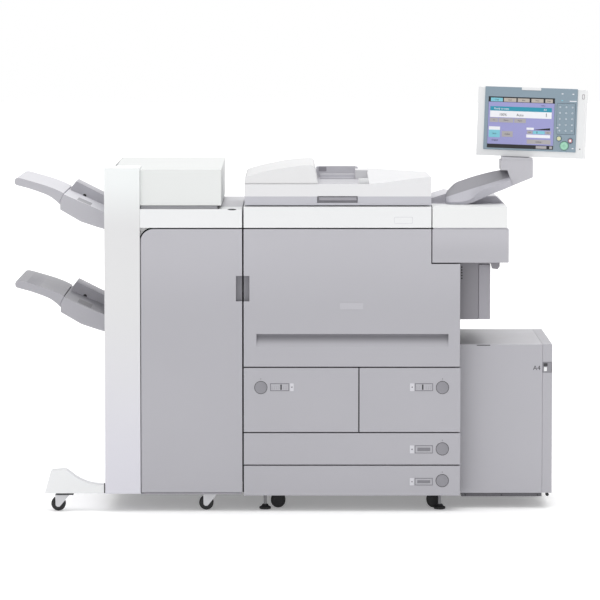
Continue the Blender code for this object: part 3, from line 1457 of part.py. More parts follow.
def build():
    clear_scene()
    make_main_frame()
    make_rear_cover()
    make_engine()
    make_front_door()
    make_drawers()
    make_reader()
    make_feeder()
    make_panel_base()
    make_arm()
    make_neck()
    make_control_panel()
    make_finisher_body()
    make_finisher_door()
    make_hood()
    make_foot()
    make_tray("upper_tray", 0.0)
    make_tray("lower_tray", TRAY_SPACING)
    make_side_deck()
    make_main_wheels()
    make_levelling_feet()
    make_finisher_casters()
    stand_on_origin()


build()
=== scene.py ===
# Production photocopier: the finish of every cover, key, wheel and screen
import bmesh
import bpy
import json
import math
from mathutils import Matrix, Vector


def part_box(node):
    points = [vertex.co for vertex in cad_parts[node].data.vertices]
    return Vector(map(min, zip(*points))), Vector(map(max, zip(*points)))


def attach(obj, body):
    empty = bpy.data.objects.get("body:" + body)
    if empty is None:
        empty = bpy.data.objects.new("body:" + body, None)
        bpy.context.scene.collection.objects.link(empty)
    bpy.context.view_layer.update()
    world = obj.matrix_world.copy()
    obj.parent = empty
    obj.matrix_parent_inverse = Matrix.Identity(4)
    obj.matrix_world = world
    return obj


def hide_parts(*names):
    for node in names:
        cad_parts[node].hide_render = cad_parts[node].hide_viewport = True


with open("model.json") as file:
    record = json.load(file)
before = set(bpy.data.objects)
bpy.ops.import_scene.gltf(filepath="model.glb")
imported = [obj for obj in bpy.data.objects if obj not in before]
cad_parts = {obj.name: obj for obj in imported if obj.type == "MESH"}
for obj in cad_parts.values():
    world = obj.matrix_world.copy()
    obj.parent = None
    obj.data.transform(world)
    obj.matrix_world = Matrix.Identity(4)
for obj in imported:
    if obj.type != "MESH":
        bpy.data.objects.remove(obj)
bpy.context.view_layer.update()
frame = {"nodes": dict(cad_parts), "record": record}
nodes = frame["nodes"]
record = frame["record"]
bodyOf = {node: body for body, members in record["behaviour"]["bodies"].items() for node in members}
slotOf = {row["node"]: row["material_slot"] for row in record["subparts"]}
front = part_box("front_door")[0].y                 # plane of the front covers
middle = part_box("front_door")[0].x + 0.181        # the line the camera stands on


def say(words):
    print("copier:", words)


def at(x, y, z):
    return Vector((middle + x, front + y, z))     # from the middle line, the cover plane and the floor


# Camera
view = {"distance": 12.0, "height": 1.709, "tilt": 4.877, "lens": 225.0}
bpy.ops.object.camera_add(
    location=(middle, front - view["distance"], view["height"]),
    rotation=(math.radians(90.0 - view["tilt"]), 0.0, 0.0),
)
camera = bpy.context.object
camera.name = "camera"
camera.data.lens = view["lens"]
camera.data.sensor_width = 36.0
camera.data.clip_end = 100.0
bpy.context.scene.camera = camera
say("camera")


# Finishes
def linear(rgb):
    return [(c / 12.92) if c <= 0.04045 else ((c + 0.055) / 1.055) ** 2.4 for c in (v / 255.0 for v in rgb)]


def shades(rgb, change):
    return (*[min(1.0, max(0.0, c * (1.0 + change))) for c in linear(rgb)], 1.0)


def finish(name, rgb, rough=0.45, grain=0.10, size=1100.0, drift=0.03, metal=0.0, coat=0.0, zones=(), glow=0.0):
    material = bpy.data.materials.new(name)
    material.use_nodes = True
    tree = material.node_tree
    add, link = tree.nodes.new, tree.links.new
    shader = tree.nodes["Principled BSDF"]
    place = add("ShaderNodeTexCoord").outputs["Object"]
    slow = add("ShaderNodeTexNoise")
    slow.inputs["Scale"].default_value = 2.3
    fine = add("ShaderNodeTexNoise")
    fine.inputs["Scale"].default_value = size
    fine.inputs["Detail"].default_value = 1.5
    patches = add("ShaderNodeTexNoise")
    patches.inputs["Scale"].default_value = 17.0
    for noise in (slow, fine, patches):
        link(place, noise.inputs["Vector"])
    parts = add("ShaderNodeSeparateXYZ")
    link(place, parts.inputs["Vector"])

    def blend(factor, first, second):
        mix = add("ShaderNodeMix")
        mix.data_type = "RGBA"
        link(factor, mix.inputs["Factor"])
        for colour, port in ((first, "A"), (second, "B")):
            if isinstance(colour, tuple):
                mix.inputs[port].default_value = colour
            else:
                link(colour, mix.inputs[port])
        return mix.outputs["Result"]

    tone = blend(slow.outputs["Fac"], shades(rgb, -drift), shades(rgb, drift))
    for axis, start, end, other in zones:         # towards another colour between two places
        step = add("ShaderNodeMapRange")
        step.interpolation_type = "SMOOTHSTEP"
        step.inputs["From Min"].default_value = start
        step.inputs["From Max"].default_value = end
        if isinstance(axis, str):
            link(parts.outputs[axis], step.inputs["Value"])
        else:                                     # the distance along a slanted direction
            along = add("ShaderNodeVectorMath")
            along.operation = "DOT_PRODUCT"
            along.inputs[1].default_value = axis
            link(place, along.inputs[0])
            link(along.outputs["Value"], step.inputs["Value"])
        other = blend(slow.outputs["Fac"], shades(other, -drift), shades(other, drift))
        tone = blend(step.outputs["Result"], tone, other)
    link(tone, shader.inputs["Base Color"])
    if glow:
        link(tone, shader.inputs["Emission Color"])
        shader.inputs["Emission Strength"].default_value = glow
    bump = add("ShaderNodeBump")
    bump.inputs["Strength"].default_value = grain
    bump.inputs["Distance"].default_value = 0.0004
    link(fine.outputs["Fac"], bump.inputs["Height"])
    link(bump.outputs["Normal"], shader.inputs["Normal"])
    gloss = add("ShaderNodeMapRange")
    gloss.inputs["To Min"].default_value = rough - 0.05
    gloss.inputs["To Max"].default_value = rough + 0.06
    link(patches.outputs["Fac"], gloss.inputs["Value"])
    link(gloss.outputs["Result"], shader.inputs["Roughness"])
    shader.inputs["Metallic"].default_value = metal
    shader.inputs["Coat Weight"].default_value = coat
    return material


deep = front + 0.0015
# the arm's top facet, above the long crease, is painted shade: darker than the rest of the arm
slope = math.radians(17.6)                        # of the arm's long creases
acrossArm = (-math.sin(slope), 0.0, math.cos(slope))
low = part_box("arm")[0]
creaseAt = Vector(acrossArm).dot((low.x + 0.032, 0.0, low.z + 0.039))
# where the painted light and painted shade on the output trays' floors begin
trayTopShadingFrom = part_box("upper_tray")[0].y + 0.0012
fence = front + 0.4392                            # the upright wall at the back of each output tray
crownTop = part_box("finisher_column")[1].z
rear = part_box("finisher_frame")[1].y
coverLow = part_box("finisher_door")[1].z + 0.002
paint = {
    "white": finish("whiteShell", (232, 233, 234)),
    # grey covers: painted light, lighter towards the top, and painted shade, darker on the floors of recesses behind
    # the front plane
    "grey": finish("greyShell", (175, 174, 180), zones=[
        ("Z", 0.62, 0.90, (184, 183, 189)), ("Y", deep, front + 0.012, (128, 127, 133)),
    ]),
    "drawer": finish("drawerGrey", (175, 174, 180)),
    "pale": finish("paleShell", (207, 206, 212)),
    # column: painted light, lighter towards the top, with a pure white painted highlight along its top rim
    "column": finish("columnWhitePaintedLight", (215, 214, 222), zones=[
        ("Z", 0.10, 0.75, (221, 221, 222)), ("Z", 0.90, 1.09, (238, 241, 241)),
        ("Z", crownTop - 0.003, crownTop, (255, 255, 255)),
    ]),
    # top cover: the white front strip and grey back are two-tone paint; the pure white below the cover's lower edge is
    # painted light on the shaded corner gusset
    "crown": finish("crownTwoToneLitGusset", (255, 255, 255), zones=[
        ("Z", coverLow - 0.001, coverLow, (233, 234, 235)), ("Y", front + 0.132, front + 0.136, (196, 195, 200)),
    ]),
    "stand": finish("standTwoTone", (233, 234, 234), zones=[
        ("Y", front + 0.150, front + 0.154, (186, 185, 191)), ("Z", 0.9862, 0.9868, (206, 205, 211)),
    ]),
    "feeder": finish("feederBase", (190, 190, 197), zones=[("Z", 1.0172, 1.0180, (226, 226, 228))]),
    "grip": finish("gripGrey", (178, 178, 183)),
    "hump": finish("feederWhite", (226, 226, 227)),
    "hood": finish("hoodWhite", (227, 229, 228)),
    # inner frame: dark grey chosen as painted shade, so the gaps between the covers show dark
    "frame": finish("framePaintedGapShade", (92, 92, 96), 0.5, 0.05, 300.0, 0.06, 0.3),
    "inside": finish("insidePaint", (112, 112, 116), 0.5, 0.05, 300.0, 0.06, 0.2, zones=[
        ("Y", rear - 0.0030, rear - 0.0026, (176, 175, 181)),
    ]),
    "dark": finish("darkTrim", (126, 125, 131)),
    "disc": finish("discGrey", (140, 139, 145), 0.4),
    "slotGrey": finish("slotGrey", (112, 111, 117)),
    "deep": finish("deepTrim", (58, 58, 61), 0.5),
    "black": finish("blackPlastic", (26, 26, 28), 0.45),
    "side": finish("sideGrey", (176, 175, 181)),
    # side deck casing: the dark skirt at the bottom is its own colour; the top face is painted light, a lighter grey
    # than the front to match how the top is lit
    "casing": finish("casingGreyLitTop", (94, 93, 98), zones=[
        ("Z", 0.0490, 0.0500, (177, 176, 182)), ("Z", 0.5325, 0.5335, (188, 187, 192)),
    ]),
    "plate": finish("plateGrey", (184, 183, 189)),
    "trayFloor": finish("trayFloorGrey", (186, 185, 191)),
    "path": finish("pathGrey", (156, 154, 161)),
    "wedge": finish("wedgeGrey", (134, 132, 138), zones=[
        ("Z", 0.8052, 0.8056, (178, 177, 183)), ("Z", 0.83, 0.90, (186, 185, 191)),
    ]),
    # output trays: the upper tray and wing have their sloping floors painted light, lighter than the fronts; the lower
    # tray and wing are a darker copy of the same grey, painted shade under the upper tray, with the floor darker still
    # and the back wall painted lighter
    "tray": finish("trayGreyLitTop", (182, 181, 187), zones=[
        ("Y", trayTopShadingFrom, trayTopShadingFrom + 0.0016, (212, 211, 217)), ("Y", fence - 0.0006, fence, (180, 179, 185)),
    ]),
    "lowTray": finish("lowTrayPaintedShade", (170, 169, 175), zones=[
        ("Y", trayTopShadingFrom, trayTopShadingFrom + 0.0016, (156, 155, 161)), ("Y", fence - 0.0006, fence, (186, 185, 191)),
    ]),
    "wing": finish("wingGreyLitTop", (182, 181, 187), zones=[("Y", trayTopShadingFrom, trayTopShadingFrom + 0.0016, (212, 211, 217))]),
    "lowWing": finish("lowWingPaintedShade", (170, 169, 175), zones=[
        ("Y", trayTopShadingFrom, trayTopShadingFrom + 0.0016, (156, 155, 161)),
    ]),
    # arm: the facet above the long crease is painted shade
    "arm": finish("armGreyShadedTop", (185, 184, 192), zones=[
        (acrossArm, creaseAt - 0.0006, creaseAt + 0.0006, (150, 149, 155)),
    ]),
    "neck": finish("neckGrey", (188, 187, 193)),
    "zinc": finish("zincSheet", (198, 199, 201), 0.34, 0.05, 300.0, 0.06, 0.9),
    "steel": finish("brightSteel", (205, 205, 207), 0.28, 0.04, 700.0, 0.04, 1.0),
    "fork": finish("forkMetal", (206, 206, 209), 0.38, 0.06, 420.0, 0.05, 0.35, zones=[
        ("Z", 0.051, 0.0525, (62, 62, 65)),
    ]),
    "tyre": finish("blackRubber", (32, 32, 34), 0.66, 0.2, 900.0, 0.10),
    "foot": finish("footRubber", (30, 30, 32), 0.6, 0.2, 900.0, 0.10, zones=[
        ("Z", 0.016, 0.018, (150, 150, 153)),
    ]),
    "bezel": finish("blueBezel", (136, 154, 167), 0.36),
    "screen": finish("screenLilac", (156, 156, 206), 0.16, 0.02),
    "platen": finish("platen", (170, 178, 176), 0.08, 0.0, 900.0, 0.03),
    "green": finish("startGreen", (140, 190, 168), 0.3, 0.02),
    "drum": finish("drumCoating", (40, 130, 112), 0.12, 0.02, 900.0, 0.04, 0.3),
    "toner": finish("tonerCase", (42, 42, 46), 0.4),
    "sleeve": finish("heatSleeve", (70, 68, 68), 0.35),
    "silicone": finish("silicone", (150, 84, 56), 0.45),
    "ink": finish("printBlack", (22, 22, 28), 0.3),
    "paper": finish("screenWhite", (238, 239, 244), 0.3, 0.02),
    "cyan": finish("screenCyan", (126, 198, 214), 0.3, 0.02),
    "teal": finish("screenTeal", (34, 146, 172), 0.3, 0.02),
    "beige": finish("screenBeige", (186, 177, 168), 0.3, 0.02),
    "keyGrey": finish("screenGrey", (172, 168, 170), 0.3, 0.02),
    "keyCap": finish("keyCap", (196, 208, 217), 0.4),
    "yellow": finish("keyYellow", (212, 214, 170), 0.4),
    "red": finish("keyRed", (190, 104, 110), 0.4),
    "mint": finish("startMint", (160, 212, 186), 0.35),
    "greenInk": finish("greenInk", (70, 140, 108), 0.4),
}
bySlot = {
    "white_shell": "white", "grey_shell": "grey", "pale_shell": "pale", "dark_trim": "dark", "zinc_sheet": "zinc",
    "bright_steel": "steel", "black_rubber": "tyre", "foot_rubber": "foot", "blue_bezel": "bezel", "screen": "screen",
    "platen": "platen", "start_green": "green", "drum_coating": "drum", "toner_case": "toner",
    "heat_sleeve": "sleeve", "silicone": "silicone",
}
byNode = {
    "main_frame": "frame", "finisher_frame": "inside", "finisher_column": "column", "finisher_top_cover": "crown",
    "panel_base_cover": "stand", "panel_base_housing": "wedge", "adf_base": "feeder", "adf_feed_cover": "hump",
    "finisher_hood": "hood", "left_deck": "drawer", "right_deck": "drawer", "upper_cassette": "drawer",
    "lower_cassette": "drawer", "deck_casing": "casing", "deck_compartment": "side", "rear_guide": "pale",
    "document_tray": "trayFloor", "side_path_door": "path", "upper_tray": "tray", "upper_tray_wing": "wing",
    "lower_tray": "lowTray", "lower_tray_wing": "lowWing",
    "arm": "arm", "neck": "neck", "panel_case": "white",
    "left_deck_button": "disc", "right_deck_button": "disc", "upper_cassette_button": "disc",
    "lower_cassette_button": "disc", "deck_button": "disc",
}
joinWithin = 0.00003                              # corners closer than this become one
softEdge = {                                      # radius of the soft edges
    "default": 0.0012, "finisher_column": 0.005, "finisher_hood": 0.006, "finisher_top_cover": 0.0035,
    "reader_housing": 0.002, "panel_case": 0.006, "adf_base": 0.002, "adf_feed_cover": 0.003, "panel_bezel": 0.0016,
    "upper_tray": 0.002, "lower_tray": 0.002, "panel_base_cover": 0.0025, "finisher_foot": 0.002,
    "key_mat": 0.0004, "start_key": 0.0008, "side_path_door": 0.003, "lcd_screen": 0.0003,
    "deck_compartment": 0.0006, "deck_casing": 0.0006,
}
curved = {                                        # steepest fold, in degrees, that is shaded as round
    "adf_feed_cover": 24, "arm": 13, "upper_tray": 20, "lower_tray": 20, "upper_tray_wing": 20, "lower_tray_wing": 20,
    "photo_drum": 30, "toner_bottle": 30, "heat_roller": 30, "pressure_roller": 30, "levelling_foot_1": 30,
    "levelling_foot_2": 30, "finisher_door": 24, "neck": 24,
}
for name in nodes:
    if "fork" in name:
        byNode[name] = "fork"
    if "wheel" in name or "button" in name or name == "start_key":
        curved[name] = 30


def soften(piece, width):
    flat = piece.modifiers.new("flat", "DECIMATE")
    flat.decimate_type = "DISSOLVE"
    flat.angle_limit = math.radians(0.6)
    soft = piece.modifiers.new("soft", "BEVEL")
    soft.width = width
    soft.segments = 3 if width > 0.0028 else 2
    soft.limit_method = "ANGLE"
    soft.angle_limit = math.radians(40)
    soft.harden_normals = True


def choose(piece):
    bpy.ops.object.select_all(action="DESELECT")
    piece.select_set(True)
    bpy.context.view_layer.objects.active = piece


shown = {}
for name, node in nodes.items():
    width = softEdge.get(name, softEdge["default"])
    material = paint[byNode.get(name, bySlot[slotOf[name]])]
    piece = node
    if name in curved:                            # a copy of the CAD shape with its facets joined and smoothed
        piece = bpy.data.objects.new(name + "Shell", node.data.copy())
        bpy.context.scene.collection.objects.link(piece)
        choose(piece)
        bpy.ops.object.mode_set(mode="EDIT")
        bpy.ops.mesh.select_all(action="SELECT")
        bpy.ops.mesh.remove_doubles(threshold=joinWithin)
        bpy.ops.object.mode_set(mode="OBJECT")
        bpy.ops.object.shade_smooth_by_angle(angle=math.radians(curved[name]))
    else:
        weld = piece.modifiers.new("weld", "WELD")
        weld.merge_threshold = joinWithin
    piece.data.materials.clear()
    piece.data.materials.append(material)
    soften(piece, width)
    shown[name] = piece
    if piece is not node:
        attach(piece, bodyOf[name])
        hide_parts(name)
say("covers")


# Ways to model the small pieces
def own(piece, name, body, material):
    piece.name = name
    piece.data.name = name
    piece.data.materials.clear()
    piece.data.materials.append(paint[material])
    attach(piece, body)
    return piece


def edit(piece, chosen, work):
    choose(piece)
    bpy.ops.object.mode_set(mode="EDIT")
    bpy.ops.mesh.select_mode(type="EDGE")
    mesh = bmesh.from_edit_mesh(piece.data)
    for edge in mesh.edges:
        edge.select = chosen(edge)
    mesh.select_flush_mode()
    bmesh.update_edit_mesh(piece.data)
    work()
    bpy.ops.object.mode_set(mode="OBJECT")


def editFaces(piece, chosen, work):
    choose(piece)
    bpy.ops.object.mode_set(mode="EDIT")
    bpy.ops.mesh.select_mode(type="FACE")
    mesh = bmesh.from_edit_mesh(piece.data)
    for face in mesh.faces:
        face.select = chosen(face)
    bmesh.update_edit_mesh(piece.data)
    work()
    bpy.ops.object.mode_set(mode="OBJECT")


def along(edge, axis):
    way = (edge.verts[0].co - edge.verts[1].co).normalized()
    return abs(way[axis]) > 0.99


def block(low, high, corner=0.0, axis=1, soft=0.0003):
    low, high = Vector(low), Vector(high)
    bpy.ops.mesh.primitive_cube_add(size=1.0, location=(low + high) / 2)
    piece = bpy.context.object
    piece.scale = high - low
    bpy.ops.object.transform_apply(location=True, rotation=True, scale=True)
    if corner:
        edit(piece, lambda e: along(e, axis), lambda: bpy.ops.mesh.bevel(offset=corner, segments=4, affect="EDGES"))
    face = low[axis]
    edit(
        piece, lambda e: all(abs(v.co[axis] - face) < 1e-5 for v in e.verts),
        lambda: bpy.ops.mesh.bevel(offset=soft, segments=2, affect="EDGES"),
    )
    return piece


def knob(centre, radius, length, rim=0.0008, step=0.0, sides=40):
    bpy.ops.mesh.primitive_cylinder_add(
        vertices=sides, radius=radius, depth=length, location=centre, rotation=(math.radians(90), 0, 0)
    )
    piece = bpy.context.object
    bpy.ops.object.transform_apply(location=True, rotation=True, scale=True)
    face = centre[1] - length / 2
    if step:                                      # a step down to an inner disc
        editFaces(piece, lambda f: f.normal.y < -0.9, lambda: (
            bpy.ops.mesh.inset(thickness=rim * 2.5),
            bpy.ops.transform.translate(value=(0, step, 0)),
        ))
    edit(
        piece, lambda e: all(abs(v.co.y - face) < 1e-6 for v in e.verts) and len(e.link_faces) == 2
        and abs(e.link_faces[0].normal.dot(e.link_faces[1].normal)) < 0.9,
        lambda: bpy.ops.mesh.bevel(offset=min(rim * 0.4, 0.0004), segments=2, affect="EDGES"),
    )
    choose(piece)
    bpy.ops.object.shade_smooth_by_angle(angle=math.radians(30))
    return piece


def together(pieces):
    bpy.ops.object.select_all(action="DESELECT")
    for piece in pieces:
        piece.select_set(True)
    bpy.context.view_layer.objects.active = pieces[0]
    bpy.ops.object.join()
    return bpy.context.object


def words(text, size, turn, thick=0.00012):
    bpy.ops.object.text_add()
    piece = bpy.context.object
    piece.data.body = text
    piece.data.size = size
    piece.data.align_x = "CENTER"
    piece.data.align_y = "CENTER"
    piece.data.extrude = thick
    piece.data.resolution_u = 3
    bpy.ops.object.convert(target="MESH")
    piece = bpy.context.object
    piece.matrix_world = turn @ Matrix(((1, 0, 0, 0), (0, 0, -1, 0), (0, 1, 0, 0), (0, 0, 0, 1)))
    bpy.ops.object.transform_apply(location=True, rotation=True, scale=True)
    return piece


def flatBlocks(name, body, material, y, rows, corner=0.0, thick=0.0006):
    made = [block(at(x0, y - thick, z0), at(x1, y + 0.0002, z1), corner) for x0, z0, x1, z1 in rows]
    return own(together(made), name, body, material)


# Front covers: bare plates, cassette windows, size marks, button rings
plates = {"door": (0.128, 0.655, 0.2035, 0.676), "reader": (0.302, 0.931, 0.3616, 0.952)}
flatBlocks("doorPlate", "front_cover", "plate", 0.0, [plates["door"]], 0.003)
flatBlocks("readerPlateEdge", "machine", "pale", 0.0, [plates["reader"]], 0.003, 0.0004)
x0, z0, x1, z1 = plates["reader"]
plateRim = 0.001
flatBlocks("readerPlate", "machine", "white", 0.0, [
    (x0 + plateRim, z0 + plateRim, x1 - plateRim, z1 - plateRim),
], 0.0025)

windows = {                                       # drawer: window, bar inside it, tab beside it
    "left_drawer": ((-0.096, 0.391, -0.035, 0.416), -0.061, (-0.032, 0.391, -0.020, 0.416)),
    "right_drawer": ((0.370, 0.391, 0.428, 0.416), 0.395, (0.354, 0.391, 0.368, 0.416)),
    "upper_drawer": ((0.370, 0.189, 0.428, 0.215), 0.0, (0.354, 0.189, 0.368, 0.215)),
    "lower_drawer": ((0.370, 0.085, 0.428, 0.109), 0.0, (0.354, 0.085, 0.368, 0.109)),
}
rim = 0.0022
dot = {"stepX": 0.0075, "stepZ": 0.006, "half": 0.001, "clear": 0.005}
for body, ((x0, z0, x1, z1), bar, (t0, w0, t1, w1)) in windows.items():
    flatBlocks(body + "WindowRim", body, "dark", 0.0, [
        (x0, z0, x1, z0 + rim), (x0, z1 - rim, x1, z1),
        (x0, z0 + rim, x0 + rim, z1 - rim), (x1 - rim, z0 + rim, x1, z1 - rim),
    ], thick=0.0007)
    flatBlocks(body + "Window", body, "drawer", 0.0, [
        (x0 + rim, z0 + rim, x1 - rim, z1 - rim),
    ], thick=0.0002)
    if bar:
        flatBlocks(body + "WindowBar", body, "black", 0.0, [
            (bar - 0.0022, z0 + 0.004, bar + 0.0022, z1 - 0.004),
        ], thick=0.0005)
        dots = [
            (x0 + 0.006 + dot["stepX"] * i, z0 + 0.007 + dot["stepZ"] * j)
            for i in range(7) for j in range(2) if abs(x0 + 0.006 + dot["stepX"] * i - bar) > dot["clear"]
        ]
        flatBlocks(body + "WindowDots", body, "dark", 0.0, [
            (x - dot["half"], z - dot["half"], x + dot["half"], z + dot["half"]) for x, z in dots
        ], thick=0.0004)
    else:
        flatBlocks(body + "WindowPrint", body, "dark", 0.0, [
            (x0 + 0.008, z0 + 0.007, x1 - 0.008, z1 - 0.007),
        ], thick=0.0004)
    flatBlocks(body + "Tab", body, "pale", 0.0, [(t0, w0, t1, w1)], 0.0015)
    own(knob(at((t0 + t1) / 2, -0.0006, (w0 + w1) / 2), 0.0024, 0.0006), body + "TabDot", body, "dark")

for node in ("left_deck_button", "right_deck_button", "upper_cassette_button", "lower_cassette_button"):
    low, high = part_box(node)
    centre = (low + high) / 2
    body = bodyOf[node].replace("_release", "_drawer")
    bpy.ops.mesh.primitive_torus_add(
        major_segments=56, minor_segments=8, major_radius=(high.x - low.x) / 2 + 0.0007, minor_radius=0.0007,
        location=(centre.x, front + 0.0001, centre.z), rotation=(math.radians(90), 0, 0),
    )
    bpy.ops.object.transform_apply(location=True, rotation=True, scale=True)
    ring = bpy.context.object
    bpy.ops.object.shade_smooth()
    own(ring, body + "Ring", body, "deep")
    own(block((centre.x - 0.0006, front - 0.0005, high.z + 0.006), (centre.x + 0.0006, front + 0.0002, high.z + 0.010)),
        body + "Tick", body, "deep")
say("front details")


# Reader and feeder
handle = (0.0544, 0.9965, 0.1856, 1.0190)
x0, z0, x1, z1 = handle
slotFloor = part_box("adf_base")[0].y - front + 0.006
flatBlocks("feederHandle", "feeder", "dark", slotFloor, [
    (x0 + 0.001, z0 + 0.001, x1 - 0.001, z1 - 0.001),
], 0.002, 0.0003)
flatBlocks("feederHandleLip", "feeder", "path", slotFloor, [
    (x0 + 0.007, z0 + 0.0085, x1 - 0.004, z1 - 0.004),
], 0.001, 0.0040)
low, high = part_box("rear_guide")
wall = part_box("adf_base")[1]
own(block((low.x - 0.012, wall.y - 0.0086, low.z + 0.004), (high.x + 0.0110, wall.y - 0.0078, wall.z - 0.001), 0.002),
    "trayBack", "feeder", "pale")
own(block((low.x - 0.004, wall.y - 0.0092, low.z + 0.019), (low.x + 0.022, wall.y - 0.0085, wall.z - 0.003), 0.002),
    "trayWindow", "feeder", "path")
guideEdge = block(
    (low.x + 0.001, low.y - 0.0004, high.z - 0.0024), (high.x - 0.001, low.y + 0.0002, high.z - 0.0006), soft=0.0001
)
own(guideEdge, "guideEdge", "guide_rear", "white")
low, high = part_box("document_tray")
ribs = [
    block((low.x + 0.016, low.y + y, high.z - 0.0002), (high.x - 0.020, low.y + y + 0.004, high.z + 0.0002), 0.001, 2)
    for y in (0.09, 0.17, 0.25, 0.33)
]
own(together(ribs), "trayRibs", "feeder", "feeder")

# Finisher: status window; painted shade in the gap under the hood and in the dark gaps at the foot and beside the main
# unit; the dark gap under the door
low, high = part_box("finisher_top_cover")
window = {"across": -0.2180, "sunk": 0.0013, "lean": -45, "radius": 0.0050, "thick": 0.0030, "wide": 2.9, "tall": 0.49}
status = knob((0.0, 0.0, 0.0), window["radius"], window["thick"])
status.matrix_world = (
    Matrix.Translation((middle + window["across"], low.y + window["sunk"], high.z - window["sunk"]))
    @ Matrix.Rotation(math.radians(window["lean"]), 4, "X")
    @ Matrix.Diagonal((window["wide"], 1.0, window["tall"], 1.0))
)
choose(status)
bpy.ops.object.transform_apply(location=True, rotation=True, scale=True)
own(status, "statusWindow", "machine", "deep")
hoodLow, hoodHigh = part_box("finisher_hood")
# a grey strip in the gap under the hood: painted shade, standing in for the shaded inside seen there
hoodGapShade = block(
    (low.x + 0.0880, hoodLow.y + 0.006, high.z + 0.0002), (hoodHigh.x - 0.012, hoodLow.y + 0.010, high.z + 0.0095),
    soft=0.0006,
)
own(hoodGapShade, "hoodGapShade", "machine", "grip")
footLow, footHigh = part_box("finisher_foot")
# a dark strip at the foot: painted shade in the gap to the column
footGapShade = block(
    (footHigh.x - 0.0040, footLow.y - 0.0004, footLow.z + 0.001),
    (footHigh.x - 0.0006, footLow.y + 0.0002, footLow.z + 0.034),
)
own(footGapShade, "footGapShade", "machine", "deep")
doorLow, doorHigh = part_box("finisher_door")
doorSill = block(
    (doorLow.x, front + 0.0030, doorLow.z - 0.0060), (doorHigh.x - 0.002, front + 0.0200, doorLow.z - 0.0015)
)
own(doorSill, "doorSill", "machine", "path")
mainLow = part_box("main_frame")[0]
# a black strip deep in the gap beside the main unit: painted shade that hides the light showing through
gapShadeSpan = {"front": 0.0240, "back": 0.0260, "low": 0.060, "high": 0.300}
gapShadeStrip = block(
    (doorHigh.x + 0.0004, front + gapShadeSpan["front"], gapShadeSpan["low"]), (mainLow.x - 0.0003, front + gapShadeSpan["back"], gapShadeSpan["high"])
)
own(gapShadeStrip, "gapShadeStrip", "machine", "black")

# Output trays: black sensor hole in the upright wall and dark slot in the sloping floor; the lower tray's slot is
# darker, painted shade under the upper tray
sheet = {
    "hole": (-0.7155, 0.0936), "holeLean": 22, "slotLeft": -0.7250, "slotRight": -0.6810,
    "slotFront": 0.155, "slotBack": 0.275, "probe": 0.23,
}
for tray, body, shade in (("upper_tray", "tray_high", "disc"), ("lower_tray", "tray_low", "slotGrey")):
    low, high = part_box(tray)
    x, up = sheet["hole"]
    hole = knob((0.0, 0.0, 0.0), 0.0060, 0.0012)
    holeAt = Matrix.Translation((middle + x, fence - 0.0001, low.z + up))
    hole.matrix_world = holeAt @ Matrix.Rotation(math.radians(sheet["holeLean"]), 4, "Y")
    choose(hole)
    bpy.ops.object.transform_apply(location=True, rotation=True, scale=True)
    own(hole, tray + "Hole", body, "black")
    ends = []
    for x in (sheet["slotLeft"], sheet["slotRight"]):
        hit = shown[tray].ray_cast((middle + x, front + sheet["probe"], high.z + 0.1), (0, 0, -1))
        ends.append(hit[1])
    lean = math.atan2(ends[0].z - ends[1].z, ends[1].x - ends[0].x)
    half = (ends[1] - ends[0]).length / 2
    deepHalf = (sheet["slotBack"] - sheet["slotFront"]) / 2
    slot = block((-half, -deepHalf, -0.0004), (half, deepHalf, 0.0004), 0.006, 2)
    slot.matrix_world = Matrix.Translation((ends[0] + ends[1]) / 2) @ Matrix.Rotation(lean, 4, "Y")
    choose(slot)
    bpy.ops.object.transform_apply(location=True, rotation=True, scale=True)
    own(slot, tray + "Slot", body, shade)

# Paper path unit: cooling holes
vent = {"count": 5, "top": 0.787, "step": 0.009, "radius": 0.0024}
holes = [
    knob(at(0.5215, 0.0497, vent["top"] - vent["step"] * i), vent["radius"], 0.0006) for i in range(vent["count"])
]
own(together(holes), "pathHoles", "machine", "black")

# Side deck: latch plate, size mark, finger slot, screws of the skirt, roller
low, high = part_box("deck_button")
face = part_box("deck_compartment")[0].y
own(block((low.x - 0.0025, face - 0.0008, low.z - 0.002), (high.x + 0.0022, face + 0.0002, high.z + 0.002), 0.002),
    "latchPlate", "side_drawer", "dark")
own(block((low.x + 0.002, low.y - 0.0005, low.z + 0.003), (low.x + 0.012, low.y + 0.0002, low.z + 0.016), 0.001),
    "latchMark", "side_release", "white")
own(block((low.x + 0.001, low.y - 0.0005, low.z + 0.019), (low.x + 0.014, low.y + 0.0002, high.z - 0.002), 0.001),
    "latchTop", "side_release", "deep")
markAt = Matrix.Translation((middle + 0.7665, face, 0.4570))
own(words("A4", 0.021, markAt), "sizeMark", "side_drawer", "deep")
casingLow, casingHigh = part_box("deck_casing")
topSlot = block(
    (middle + 0.572, casingLow.y - 0.0005, casingHigh.z - 0.0040),
    (middle + 0.616, casingLow.y + 0.0002, casingHigh.z - 0.0012), 0.001,
)
own(topSlot, "topSlot", "machine", "deep")
screws = [
    knob(Vector((middle + x, casingLow.y - 0.0003, 0.0430)), 0.0028, 0.001, step=0.0003)
    for x in (0.5366, 0.6537, 0.7710)
]
own(together(screws), "skirtScrews", "machine", "deep")
roller = knob(Vector((middle + 0.8027, face + 0.008, 0.0445)), 0.0055, 0.016, 0.001, step=0.001)
own(roller, "deckRoller", "side_drawer", "black")

